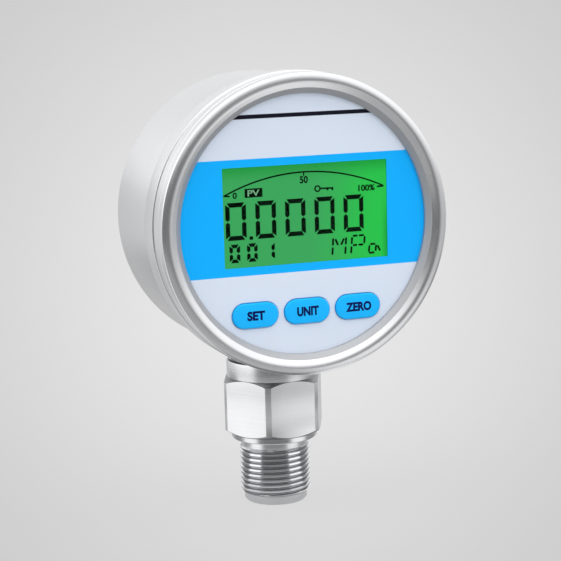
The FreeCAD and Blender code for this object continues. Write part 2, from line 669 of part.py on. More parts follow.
def rear_cover():
    """Turned plate, recessed in the middle, held by countersunk screws."""
    plate = turned_on_dial([
        (0, COVER_FRONT),
        (COVER_R, COVER_FRONT),
        (COVER_R, COVER_BACK - COVER_CHAMFER),
        (COVER_R - COVER_CHAMFER, COVER_BACK),
        (COVER_PANEL_R + COVER_PANEL_SLOPE, COVER_BACK),
        (COVER_PANEL_R, COVER_BACK - COVER_PANEL_STEP),
        (0, COVER_BACK - COVER_PANEL_STEP),
    ])
    return plate.cut([countersink(place, RUNNING_CLEARANCE) for place in cover_screw_places()])


def rear_gasket():
    """Flat rubber ring under the cover, with holes for the screws."""
    flat = ring(COVER_R - GASKET_EDGE, FLANGE_INNER_R + GASKET_REVEAL, FLANGE_BACK, COVER_FRONT)
    holes = [disc(SCREW_SHANK_R + GASKET_SCREW_CLEARANCE, FLANGE_BACK - 1, COVER_FRONT + 1, place)
             for place in cover_screw_places()]
    return flat.cut(holes)


def cover_screws():
    """Countersunk screws with a cross recess."""
    length, width, sink = SCREW_RECESS
    screws = []
    for place in cover_screw_places():
        shank = disc(SCREW_SHANK_R, FLANGE_FRONT - SCREW_PROJECTION, COVER_FRONT, place)
        screw = fused(countersink(place, 0), [shank])
        arms = [block(size, place, COVER_BACK - sink, COVER_BACK + 1)
                for size in ((length, width), (width, length))]
        screws.append(screw.cut(arms))
    return Part.makeCompound(screws)


# ---------------------------------------------------------------- front

def face_overlay():
    """Printed film with a window opening and three key openings."""
    film = disc(FILM_R, FILM_FRONT, PANEL_FRONT)
    window = rounded_plate((WINDOW_WIDTH, WINDOW_HEIGHT), WINDOW_CORNER_R, WINDOW_CENTRE, 0, PANEL_BACK)
    keys = [pill(FILM_KEY_GAP, place, 0, PANEL_BACK) for place in KEY_PLACES.values()]
    return film.cut([window] + keys)


def display_window():
    """Clear plate behind the film, stepped so that its middle fills the opening."""
    plate = rounded_plate(WINDOW_PLATE, WINDOW_PLATE_CORNER_R, WINDOW_CENTRE,
                          PANEL_FRONT, PANEL_FRONT + WINDOW_FLANGE)
    size = (WINDOW_WIDTH - 2 * SLIDE_CLEARANCE, WINDOW_HEIGHT - 2 * SLIDE_CLEARANCE)
    middle = rounded_plate(size, WINDOW_CORNER_R, WINDOW_CENTRE, FILM_FRONT + WINDOW_SINK, PANEL_FRONT)
    return fused(plate, [middle])


def front_panel():
    """Moulded carrier: window and key openings, and pillars for the board."""
    plate = turned_on_dial([
        (0, PANEL_FRONT), (PANEL_R - PANEL_CHAMFER, PANEL_FRONT), (PANEL_R, PANEL_FRONT + PANEL_CHAMFER),
        (PANEL_R, PANEL_BACK), (0, PANEL_BACK),
    ])
    pillars = [disc(PILLAR_R, PANEL_BACK, BOARD_FRONT, place) for place in PILLAR_PLACES]
    opening = (WINDOW_PLATE[0] + WINDOW_POCKET_PLAY, WINDOW_PLATE[1] + WINDOW_POCKET_PLAY)
    cuts = [block(opening, WINDOW_CENTRE, 0, PANEL_BACK + 1)]
    cuts += [pill(SLIDE_CLEARANCE, place, 0, PANEL_BACK + 1) for place in KEY_PLACES.values()]
    cuts += [disc(PILLAR_HOLE_R, BOARD_FRONT - PILLAR_HOLE_DEPTH, BOARD_FRONT + 1, place)
             for place in PILLAR_PLACES]
    return fused(plate, pillars).cut(cuts)


def key_cap(place):
    """Rubber key: a cap with a bevelled top and a flange behind the panel."""
    cap = pill(0, place, KEY_TOP, KEY_FLANGE_FRONT)
    rim = [edge for edge in cap.Edges
           if all(abs(vertex.Y - FRONT_Y - KEY_TOP) < 1e-6 for vertex in edge.Vertexes)]
    cap = cap.makeChamfer(KEY_TOP_CHAMFER, rim)
    flange = pill(KEY_FLANGE_MARGIN, place, KEY_FLANGE_FRONT, KEY_BACK)
    return fused(cap, [flange])


def plunger(place):
    """Switch plunger, which moves with its key."""
    return disc(PLUNGER_R, PLUNGER_FRONT, SWITCH_FRONT + PLUNGER_ENTRY, place)


def switch_body(place):
    """Square switch on the board, with a well for the plunger."""
    body = block((SWITCH_SIZE, SWITCH_SIZE), place, SWITCH_FRONT, BOARD_FRONT)
    well_end = SWITCH_FRONT + PLUNGER_ENTRY + KEY_TRAVEL + PLUNGER_SPARE
    well = disc(PLUNGER_R + RUNNING_CLEARANCE, SWITCH_FRONT - 1, well_end, place)
    length, thickness = SWITCH_FOOT
    feet = [block(SWITCH_FOOT, (place[0] + side * (SWITCH_SIZE + length) / 2, place[1] + up),
                  BOARD_FRONT - thickness, BOARD_FRONT)
            for side in (-1, 1) for up in (-SWITCH_FOOT_UP, SWITCH_FOOT_UP)]
    return fused(body.cut(well), feet)


# ---------------------------------------------------------------- display

def display_size(margin):
    """Width and height of the display cell, larger by a margin all round."""
    grow = 2 * (margin - DISPLAY_INSET)
    return (WINDOW_PLATE[0] + grow, WINDOW_PLATE[1] + grow)


def lcd_glass():
    """Display cell: a full front plate and a shorter back plate, which leaves a ledge."""
    width, height = display_size(0)
    front = block((width, height), WINDOW_CENTRE, DISPLAY_FRONT, DISPLAY_FRONT + DISPLAY_GLASS)
    back_place = (WINDOW_CENTRE[0], WINDOW_CENTRE[1] + DISPLAY_LEDGE / 2)
    back = block((width, height - DISPLAY_LEDGE), back_place,
                 DISPLAY_FRONT + DISPLAY_GLASS, DISPLAY_BACK)
    return fused(front, [back])


def backlight():
    """Light guide behind the display, with a small lamp housing at one end."""
    width, height = display_size(-BACKLIGHT_INSET)
    place = (WINDOW_CENTRE[0], WINDOW_CENTRE[1] + DISPLAY_LEDGE / 2)
    back = BACKLIGHT_FRONT + BACKLIGHT_THICKNESS
    guide = block((width, height - DISPLAY_LEDGE), place, BACKLIGHT_FRONT, back)
    lamp = block(LAMP_SIZE, (place[0] + (width - LAMP_SIZE[0]) / 2, place[1]), back, BOARD_FRONT)
    return fused(guide, [lamp])


def lcd_frame():
    """Moulded frame round the display, standing on the board."""
    inner = display_size(FRAME_CLEARANCE)
    outer = display_size(FRAME_CLEARANCE + FRAME_WALL)
    front = PANEL_BACK + REST_GAP
    wall = rounded_plate(outer, FRAME_CORNER_R, WINDOW_CENTRE, front, BOARD_FRONT)
    wall = wall.cut(block(inner, WINDOW_CENTRE, front - 1, BOARD_FRONT + 1))
    shelf_front = BACKLIGHT_FRONT + BACKLIGHT_THICKNESS + RUNNING_CLEARANCE
    shelf_place = (WINDOW_CENTRE[0] - (inner[0] - FRAME_SHELF[0]) / 2, WINDOW_CENTRE[1])
    shelf = block(FRAME_SHELF, shelf_place, shelf_front, BOARD_FRONT)
    return fused(wall, [shelf])


def lcd_pins():
    """Row of contact pins from the display's ledge to the board."""
    width, height = display_size(0)
    pitch = (width - 2 * PIN_END_MARGIN) / (PIN_COUNT - 1)
    up = WINDOW_CENTRE[1] - height / 2 + PIN_EDGE_MARGIN
    pins = []
    for index in range(PIN_COUNT):
        across = WINDOW_CENTRE[0] + (index - (PIN_COUNT - 1) / 2) * pitch
        pins.append(block(PIN_SIZE, (across, up), DISPLAY_FRONT + DISPLAY_GLASS, BOARD_FRONT))
    return Part.makeCompound(pins)


# ---------------------------------------------------------------- board

def main_board():
    """Round circuit board with four screw holes."""
    board = disc(BOARD_R, BOARD_FRONT, BOARD_BACK)
    return board.cut([disc(BOARD_HOLE_R, BOARD_FRONT - 1, BOARD_BACK + 1, place) for place in PILLAR_PLACES])


def board_screws():
    """Pan-head screws through the board into the pillars."""
    shank_r, shank_length = BOARD_SCREW_SHANK
    head_r, head_height = BOARD_SCREW_HEAD
    slot_length, slot_width, slot_depth = BOARD_SCREW_SLOT
    head_top = BOARD_BACK + head_height
    screws = []
    for place in PILLAR_PLACES:
        shank = disc(shank_r, BOARD_FRONT - shank_length, BOARD_BACK, place)
        head = disc(head_r, BOARD_BACK, head_top, place)
        slot = block((slot_length, slot_width), place, head_top - slot_depth, head_top + 1)
        screws.append(fused(shank, [head]).cut(slot))
    return Part.makeCompound(screws)


def chip(size, place, pins_per_side):
    """Packaged chip: a body with flat leads along its two long sides."""
    width, height = size
    body = block(size, place, BOARD_BACK + CHIP_STANDOFF, BOARD_BACK + CHIP_STANDOFF + CHIP_BODY)
    leads = []
    for side in (-1, 1):
        for index in range(pins_per_side):
            across = place[0] + (index - (pins_per_side - 1) / 2) * width / pins_per_side
            up = place[1] + side * (height / 2 + 0.4)
            leads.append(block(CHIP_LEAD, (across, up), BOARD_BACK, BOARD_BACK + CHIP_LEAD[0]))
    return fused(body, leads)


def crystal_can():
    """Oval metal can of the clock crystal."""
    top = BOARD_BACK + CRYSTAL_HEIGHT
    ends = [disc(CRYSTAL_END_R, BOARD_BACK, top, (side * CRYSTAL_REACH, CRYSTAL_UP)) for side in (-1, 1)]
    middle = block((2 * CRYSTAL_REACH, 2 * CRYSTAL_END_R), (0, CRYSTAL_UP), BOARD_BACK, top)
    return fused(middle, ends)


def capacitors():
    """Three round capacitors that stand on the board."""
    base_top = BOARD_BACK + CAPACITOR_BASE_HEIGHT
    cans = []
    for place in CAPACITOR_PLACES:
        base = block(CAPACITOR_BASE, place, BOARD_BACK, base_top)
        cans.append(fused(base, [disc(CAPACITOR_R, base_top, BOARD_BACK + CAPACITOR_HEIGHT, place)]))
    return Part.makeCompound(cans)


def lead_socket():
    """Moulded socket on the board that takes the sensor's wires."""
    return block(SOCKET_SIZE, (0, SOCKET_UP), BOARD_BACK, BOARD_BACK + SOCKET_HEIGHT)


# ---------------------------------------------------------------- power

def holder_length():
    """Inner length of the battery holder."""
    return CELL_LENGTH + 2 * CONTACT_SPACE


def cell_ups():
    """Heights of the two cells above the dial's centre."""
    return (HOLDER_CENTRE_UP + CELL_PITCH / 2, HOLDER_CENTRE_UP - CELL_PITCH / 2)


def battery_holder():
    """Moulded tray on the back of the board, with a pocket for each cell."""
    length = holder_length()
    outer_height = 2 * CELL_POCKET + HOLDER_RIB + 2 * HOLDER_WALL
    tray = rounded_plate((length + 2 * HOLDER_WALL, outer_height), HOLDER_CORNER_R, (0, HOLDER_CENTRE_UP),
                         BOARD_BACK, BOARD_BACK + HOLDER_HEIGHT)
    top = BOARD_BACK + HOLDER_HEIGHT + 1
    pockets = [block((length, CELL_POCKET), (0, up), CELL_FLOOR_DEPTH, top) for up in cell_ups()]
    notch_width, notch_floor = HOLDER_NOTCH
    notch = block((notch_width, outer_height + 2), (0, HOLDER_CENTRE_UP), BOARD_BACK + notch_floor, top)
    return tray.cut(pockets + [notch])


def battery(up, direction):
    """Cylindrical cell lying across the case, nub towards direction."""
    end = CELL_LENGTH / 2
    can_length = CELL_LENGTH - CELL_NUB
    start = dial_point(-direction * end, up, CELL_AXIS_DEPTH)
    along = vector(direction, 0, 0)
    can = Part.makeCylinder(CELL_R, can_length, start, along)
    nub = Part.makeCylinder(CELL_NUB_R, CELL_NUB, start + along * can_length, along)
    return fused(can, [nub])


def battery_contacts():
    """Bent leaf at each end of each cell: a flat against the wall and a sprung nose."""
    axis = CELL_AXIS_DEPTH
    contacts = []
    for up in cell_ups():
        for side in (-1, 1):
            wall = side * holder_length() / 2
            leaf = wall - side * CONTACT_LEAF
            nose = wall - side * CONTACT_SPACE
            steps = [
                (wall, axis - CONTACT_FRONT), (wall, axis + CONTACT_BACK), (leaf, axis + CONTACT_BACK),
                (nose, axis + CONTACT_NOSE), (nose, axis - CONTACT_NOSE),
                (leaf, axis - CONTACT_BEND), (leaf, axis - CONTACT_FRONT),
            ]
            face = Part.Face(outline(steps, lambda x, depth: dial_point(x, up - CONTACT_HALF_WIDTH, depth)))
            contacts.append(outward(face.extrude(vector(0, 0, 2 * CONTACT_HALF_WIDTH))))
    return Part.makeCompound(contacts)


# ---------------------------------------------------------------- assembly

def assembly():
    """Every node's name with its shape."""
    nodes = {
        "case_shell": case_shell(),
        "stem_boss": stem_boss(),
        "bezel_ring": bezel_ring(),
        "front_gasket": front_gasket(),
        "face_overlay": face_overlay(),
        "display_window": display_window(),
        "front_panel": front_panel(),
        "lcd_glass": lcd_glass(),
        "backlight": backlight(),
        "lcd_frame": lcd_frame(),
        "lcd_pins": lcd_pins(),
        "main_board": main_board(),
        "board_screws": board_screws(),
        "controller_chip": chip(CONTROLLER_SIZE, CONTROLLER_PLACE, 8),
        "converter_chip": chip(CONVERTER_SIZE, CONVERTER_PLACE, 5),
        "crystal_can": crystal_can(),
        "capacitors": capacitors(),
        "lead_socket": lead_socket(),
        "battery_holder": battery_holder(),
        "battery_contacts": battery_contacts(),
        "process_connector": process_connector(),
        "stem_seal": stem_seal(),
        "stem_nut": stem_nut(),
        "sensor_capsule": sensor_capsule(),
        "sensor_seal": sensor_seal(),
        "sensor_pins": sensor_pins(),
        "sensor_retainer": sensor_retainer(),
        "sensor_ribbon": sensor_ribbon(),
        "rear_cover": rear_cover(),
        "rear_gasket": rear_gasket(),
        "cover_screws": cover_screws(),
    }
    for name, place in KEY_PLACES.items():
        nodes[f"key_{name}"] = key_cap(place)
        nodes[f"plunger_{name}"] = plunger(place)
        nodes[f"switch_{name}"] = switch_body(place)
    for name, up, direction in zip(("upper", "lower"), cell_ups(), (1, -1)):
        nodes[f"battery_{name}"] = battery(up, direction)
    return nodes


def main():
    """Write each node as a STEP file."""
    os.makedirs("parts", exist_ok=True)
    for name, shape in assembly().items():
        shape.exportStep(os.path.join("parts", f"{name}.step"))
        print(f"{name}: {len(shape.Solids)} solid(s), {shape.Volume:.1f} mm3, valid {shape.isValid()}")


main()
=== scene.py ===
"""Visual model of a round digital pressure gauge with a threaded stem.

Pieces are modelled in millimetres in one of two drawing frames and then set in place:
on the dial, x runs across, y up and z out of the dial, from the bezel's front plane; on
the stem, z runs up the stem from the nose. Blender's unit is the metre.
"""

import json
import logging
import math
from collections.abc import Mapping, Sequence
from dataclasses import dataclass
from enum import Enum

import bpy
from mathutils import Matrix, Vector

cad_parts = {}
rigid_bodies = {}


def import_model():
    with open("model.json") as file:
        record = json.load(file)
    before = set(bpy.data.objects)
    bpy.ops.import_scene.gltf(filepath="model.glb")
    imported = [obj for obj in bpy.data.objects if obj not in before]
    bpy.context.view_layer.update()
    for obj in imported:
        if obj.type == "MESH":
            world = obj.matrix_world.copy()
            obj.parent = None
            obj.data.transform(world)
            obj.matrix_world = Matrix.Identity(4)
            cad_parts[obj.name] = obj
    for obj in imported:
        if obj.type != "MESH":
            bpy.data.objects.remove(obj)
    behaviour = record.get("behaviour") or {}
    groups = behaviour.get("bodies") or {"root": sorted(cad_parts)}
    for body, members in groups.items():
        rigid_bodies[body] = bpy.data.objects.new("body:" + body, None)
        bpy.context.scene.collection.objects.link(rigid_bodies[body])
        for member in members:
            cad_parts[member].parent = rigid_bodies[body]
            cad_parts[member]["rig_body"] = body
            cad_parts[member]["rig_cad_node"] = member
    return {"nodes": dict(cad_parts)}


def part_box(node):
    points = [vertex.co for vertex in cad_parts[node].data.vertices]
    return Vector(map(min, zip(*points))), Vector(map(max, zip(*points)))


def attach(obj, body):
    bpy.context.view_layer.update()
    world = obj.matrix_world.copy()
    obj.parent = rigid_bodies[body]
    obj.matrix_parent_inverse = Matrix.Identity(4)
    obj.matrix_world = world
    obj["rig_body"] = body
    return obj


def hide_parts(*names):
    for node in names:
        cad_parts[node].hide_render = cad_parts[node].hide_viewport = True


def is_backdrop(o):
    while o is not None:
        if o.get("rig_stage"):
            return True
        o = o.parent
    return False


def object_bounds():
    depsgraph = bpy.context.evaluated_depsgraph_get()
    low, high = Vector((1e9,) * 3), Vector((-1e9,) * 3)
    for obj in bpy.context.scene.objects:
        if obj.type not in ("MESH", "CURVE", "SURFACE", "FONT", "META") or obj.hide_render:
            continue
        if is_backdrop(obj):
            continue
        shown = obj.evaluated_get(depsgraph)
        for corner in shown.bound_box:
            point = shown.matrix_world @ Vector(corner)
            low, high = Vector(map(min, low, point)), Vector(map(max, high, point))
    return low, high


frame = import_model()

LOG = logging.getLogger("gauge")
MM = 0.001  # metres
CLOSE = 1e-4  # how near two places count as one, in the unit a piece is drawn in

Point2 = tuple[float, float]
Point3 = tuple[float, float, float]
Colour = tuple[float, float, float]


def srgb(red: int, green: int, blue: int) -> Colour:
    """Linear colour from display values of 0 to 255.

    Args:
        red: Red, as displayed.
        green: Green, as displayed.
        blue: Blue, as displayed.

    Returns:
        The linear red, green and blue.
    """
    def linear(value: int) -> float:
        """One channel, display to linear."""
        share = value / 255
        return share / 12.92 if share <= 0.04045 else ((share + 0.055) / 1.055) ** 2.4

    return linear(red), linear(green), linear(blue)


# ---------------------------------------------------------------- places


class Side(Enum):
    """Which drawing frame a piece is modelled in."""

    DIAL = "dial"
    STEM = "stem"


@dataclass(frozen=True)
class Datum:
    """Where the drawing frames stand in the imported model.

    Attributes:
        front: Y of the bezel's front plane, in millimetres.
        dial_height: Z of the dial's axis, in millimetres.
    """

    front: float
    dial_height: float

    @classmethod
    def read(cls) -> "Datum":
        """The datum, from the bezel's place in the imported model."""
        low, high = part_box("bezel_ring")
        return cls(low.y / MM, (low.z + high.z) / 2 / MM)

    def placement(self, side: Side) -> Matrix:
        """Matrix from a drawing frame in millimetres to the model in metres.

        Args:
            side: The drawing frame.

        Returns:
            The matrix, scale included.
        """
        scale = Matrix.Scale(MM, 4)
        if side is Side.STEM:
            return scale
        turn = Matrix.Rotation(math.radians(90), 4, "X")
        return scale @ Matrix.Translation((0, self.front, self.dial_height)) @ turn


def arc(centre: Point2, radius: float, start: float, end: float, steps: int) -> list[Point2]:
    """Points along a round stretch of an outline.

    Args:
        centre: The arc's centre.
        radius: Its radius.
        start: First angle in degrees, from the first axis.
        end: Last angle in degrees.
        steps: How many equal stretches it is divided into.

    Returns:
        The points, both ends included.
    """
    points = []
    for index in range(steps + 1):
        angle = math.radians(start + (end - start) * index / steps)
        points.append((centre[0] + radius * math.cos(angle), centre[1] + radius * math.sin(angle)))
    return points


# ---------------------------------------------------------------- modelling


class Bench:
    """Modelling moves, made with the same operators as by hand."""

    def __init__(self, datum: Datum) -> None:
        """Keep the datum that finished pieces are set down by."""
        self.datum = datum

    @staticmethod
    def clear() -> None:
        """Leave edit mode and deselect everything."""
        if bpy.context.object is not None and bpy.context.object.mode != "OBJECT":
            bpy.ops.object.mode_set(mode="OBJECT")
        bpy.ops.object.select_all(action="DESELECT")

    @staticmethod
    def pick(*objects: bpy.types.Object) -> None:
        """Select only these objects and make the first one active."""
        Bench.clear()
        for obj in objects:
            obj.select_set(True)
        bpy.context.view_layer.objects.active = objects[0]

    @staticmethod
    def chain(name: str, points: Sequence[Point3]) -> bpy.types.Object:
        """A new object, left in edit mode, whose vertices run along a line of points.

        Args:
            name: The object's name.
            points: The points, in order.

        Returns:
            The object. All of its vertices are selected.
        """
        Bench.clear()
        bpy.ops.mesh.primitive_plane_add(size=1)
        obj = bpy.context.object
        obj.name = name
        bpy.ops.object.mode_set(mode="EDIT")
        bpy.ops.mesh.select_all(action="SELECT")
        bpy.ops.mesh.merge(type="CENTER")
        bpy.ops.transform.translate(value=points[0])
        for start, end in zip(points, points[1:]):
            step = Vector(end) - Vector(start)
            bpy.ops.mesh.extrude_vertices_move(TRANSFORM_OT_translate={"value": step})
        bpy.ops.mesh.select_all(action="SELECT")
        return obj

    @staticmethod
    def turned(name: str, profile: Sequence[Point2], segments: int = 192) -> bpy.types.Object:
        """A body turned about the drawing frame's z axis.

        Args:
            name: The object's name.
            profile: (radius, height) points of a closed section, or of a line from axis to axis.
            segments: How many facets go round.

        Returns:
            The object, in object mode.
        """
        obj = Bench.chain(name, [(radius, 0, height) for radius, height in profile])
        bpy.ops.mesh.spin(steps=segments, angle=math.tau, center=(0, 0, 0), axis=(0, 0, 1))
        Bench.close_seams()
        return obj

    @staticmethod
    def close_seams() -> None:
        """Merge doubles and point the faces outwards, then leave edit mode."""
        bpy.ops.mesh.select_all(action="SELECT")
        bpy.ops.mesh.remove_doubles(threshold=CLOSE)
        bpy.ops.mesh.select_all(action="SELECT")
        bpy.ops.mesh.normals_make_consistent(inside=False)
        bpy.ops.object.mode_set(mode="OBJECT")

    @staticmethod
    def plate(name: str, outline: Sequence[Point2], bottom: float, top: float) -> bpy.types.Object:
        """A flat plate between two heights.

        Args:
            name: The object's name.
            outline: Corners of the plate, in order.
            bottom: Height of its lower face.
            top: Height of its upper face.

        Returns:
            The object, in object mode.
        """
        obj = Bench.chain(name, [(x, y, bottom) for x, y in outline])
        bpy.ops.mesh.edge_face_add()
        bpy.ops.mesh.extrude_region_move(TRANSFORM_OT_translate={"value": (0, 0, top - bottom)})
        Bench.close_seams()
        return obj

    @staticmethod
    def modify(obj: bpy.types.Object, kind: str, **settings: object) -> None:
        """Add a modifier and apply it.

        Args:
            obj: The object.
            kind: The modifier's type.
            **settings: Its settings.
        """
        Bench.pick(obj)
        modifier = obj.modifiers.new(kind.title(), kind)
        for key, value in settings.items():
            setattr(modifier, key, value)
        bpy.ops.object.modifier_apply(modifier=modifier.name)

    @staticmethod
    def carve(obj: bpy.types.Object, tool: bpy.types.Object, operation: str = "DIFFERENCE") -> None:
        """Cut an object with a tool, which is used up.

        Args:
            obj: The object that is cut.
            tool: The cutting shape.
            operation: DIFFERENCE, INTERSECT or UNION.
        """
        Bench.modify(obj, "BOOLEAN", object=tool, operation=operation, solver="EXACT")
        bpy.data.objects.remove(tool)

    @staticmethod
    def soften(obj: bpy.types.Object, width: float, angle: float) -> None:
        """Break an object's sharp edges with a small bevel.

        Args:
            obj: The object.
            width: Width of the bevel.
            angle: Edges sharper than this many degrees are bevelled.
        """
        Bench.modify(obj, "BEVEL", width=width, segments=2, limit_method="ANGLE",
                     angle_limit=math.radians(angle), harden_normals=False)

    @staticmethod
    def join(name: str, objects: Sequence[bpy.types.Object]) -> bpy.types.Object:
        """Join objects into one, under a new name."""
        Bench.pick(*objects)
        if len(objects) > 1:
            bpy.ops.object.join()
        objects[0].name = name
        return objects[0]

    @staticmethod
    def copied(obj: bpy.types.Object, shift: Point3) -> bpy.types.Object:
        """A copy with a mesh of its own, moved by a shift."""
        other = obj.copy()
        other.data = obj.data.copy()
        bpy.context.scene.collection.objects.link(other)
        other.data.transform(Matrix.Translation(shift))
        return other

    @staticmethod
    def lettering(body: str, size: Point2, place: Point2, bottom: float, top: float,
                  weight: float) -> bpy.types.Object:
        """Raised characters, fitted to a box.

        Args:
            body: The characters.
            size: Width and height of the box they fill.
            place: The box's centre.
            bottom: Height of their back.
            top: Height of their front.
            weight: How much bolder than the plain face they are.

        Returns:
            The characters as a mesh object.
        """
        Bench.clear()
        bpy.ops.object.text_add()
        obj = bpy.context.object
        obj.data.body = body
        obj.data.offset = weight
        obj.data.resolution_u = 4
        bpy.ops.object.convert(target="MESH")
        bpy.ops.object.mode_set(mode="EDIT")
        bpy.ops.mesh.select_all(action="SELECT")
        bpy.ops.mesh.remove_doubles(threshold=0.1 * CLOSE)
        bpy.ops.mesh.extrude_region_move(TRANSFORM_OT_translate={"value": (0, 0, 1)})
        bpy.ops.mesh.select_all(action="SELECT")
        bpy.ops.mesh.normals_make_consistent(inside=False)
        bpy.ops.object.mode_set(mode="OBJECT")
        corners = [vertex.co for vertex in obj.data.vertices]
        low = Vector(min(co[axis] for co in corners) for axis in range(3))
        high = Vector(max(co[axis] for co in corners) for axis in range(3))
        span = high - low
        fit = Matrix.Diagonal((size[0] / span.x, size[1] / span.y, (top - bottom) / span.z, 1))
        middle = Vector(((low.x + high.x) / 2, (low.y + high.y) / 2, low.z))
        obj.data.transform(Matrix.Translation((*place, bottom)) @ fit @ Matrix.Translation(-middle))
        return obj

    def settle(self, obj: bpy.types.Object, side: Side, smooth: float = 30) -> bpy.types.Object:
        """Set a finished piece down in the model and shade it.

        Args:
            obj: The piece, drawn in millimetres.
            side: The frame it is drawn in.
            smooth: Edges flatter than this many degrees are shaded smooth.

        Returns:
            The same object, at the world's origin, unturned and unscaled.
        """
        Bench.pick(obj)
        obj.matrix_world = self.datum.placement(side)
        bpy.ops.object.transform_apply(location=True, rotation=True, scale=True)
        bpy.ops.object.shade_smooth_by_angle(angle=math.radians(smooth))
        return obj

    @staticmethod
    def fit_out(obj: bpy.types.Object, material: bpy.types.Material, body: str, slot: str,
                replaces: Sequence[str] = ()) -> bpy.types.Object:
        """Dress a piece and hang it on a body.

        Args:
            obj: The piece.
            material: Its finish.
            body: The body that it moves with.
            slot: The record's material slot for it; not used.
            replaces: CAD nodes that it stands for.

        Returns:
            The same object.
        """
        obj.data.materials.clear()
        obj.data.materials.append(material)
        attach(obj, body)
        if replaces:
            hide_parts(*replaces)
        LOG.info("%s: %d faces on %s", obj.name, len(obj.data.polygons), body)
        return obj


# ---------------------------------------------------------------- shader maths


Number = "Wire | float"


class Wire:
    """A node's output, on which arithmetic adds Math nodes."""

    def __init__(self, board: "Board", socket: bpy.types.NodeSocket) -> None:
        """Wrap one output socket of a board."""
        self.board = board
        self.socket = socket

    def _maths(self, operation: str, first: object, second: object = 0.0) -> "Wire":
        """The result of one Math node."""
        return self.board.node("ShaderNodeMath", {"operation": operation}, {0: first, 1: second})

    def __add__(self, other: Number) -> "Wire":
        """This plus other."""
        return self._maths("ADD", self, other)

    def __radd__(self, other: Number) -> "Wire":
        """Other plus this."""
        return self._maths("ADD", other, self)

    def __sub__(self, other: Number) -> "Wire":
        """This minus other."""
        return self._maths("SUBTRACT", self, other)

    def __rsub__(self, other: Number) -> "Wire":
        """Other minus this."""
        return self._maths("SUBTRACT", other, self)

    def __mul__(self, other: Number) -> "Wire":
        """This times other."""
        return self._maths("MULTIPLY", self, other)

    def __rmul__(self, other: Number) -> "Wire":
        """Other times this."""
        return self._maths("MULTIPLY", other, self)

    def __truediv__(self, other: Number) -> "Wire":
        """This divided by other."""
        return self._maths("DIVIDE", self, other)

    def __abs__(self) -> "Wire":
        """This without its sign."""
        return self._maths("ABSOLUTE", self)

    def root(self) -> "Wire":
        """Square root."""
        return self._maths("SQRT", self)

    def wave(self) -> "Wire":
        """Sine of this, in radians."""
        return self._maths("SINE", self)

    def bearing(self, ahead: "Wire") -> "Wire":
        """Angle in degrees whose tangent is this over ahead."""
        return self._maths("ARCTAN2", self, ahead) * (180 / math.pi)

    def slope(self) -> "Wire":
        """Angle in degrees whose sine is this."""
        return self._maths("ARCSINE", self) * (180 / math.pi)

    def step(self, low: float, high: float) -> "Wire":
        """Smooth step: 0 at low, 1 at high.

        Args:
            low: The value at which the step starts.
            high: The value at which it ends.

        Returns:
            The step, from 0 to 1.
        """
        settings = {"interpolation_type": "SMOOTHSTEP"}
        return self.board.node("ShaderNodeMapRange", settings, {"Value": self, 1: low, 2: high})

    def within(self, limits: Point2, edge: float) -> "Wire":
        """1 between two limits and 0 outside them.

        Args:
            limits: The lower and the upper limit.
            edge: Half the width of the soft step at each limit.

        Returns:
            The result, from 0 to 1.
        """
        low, high = limits
        return self.step(low - edge, low + edge) * (1 - self.step(high - edge, high + edge))

    def blend(self, other: "Wire", share: float) -> "Wire":
        """A share of this and the rest of other."""
        return share * self + (1 - share) * other


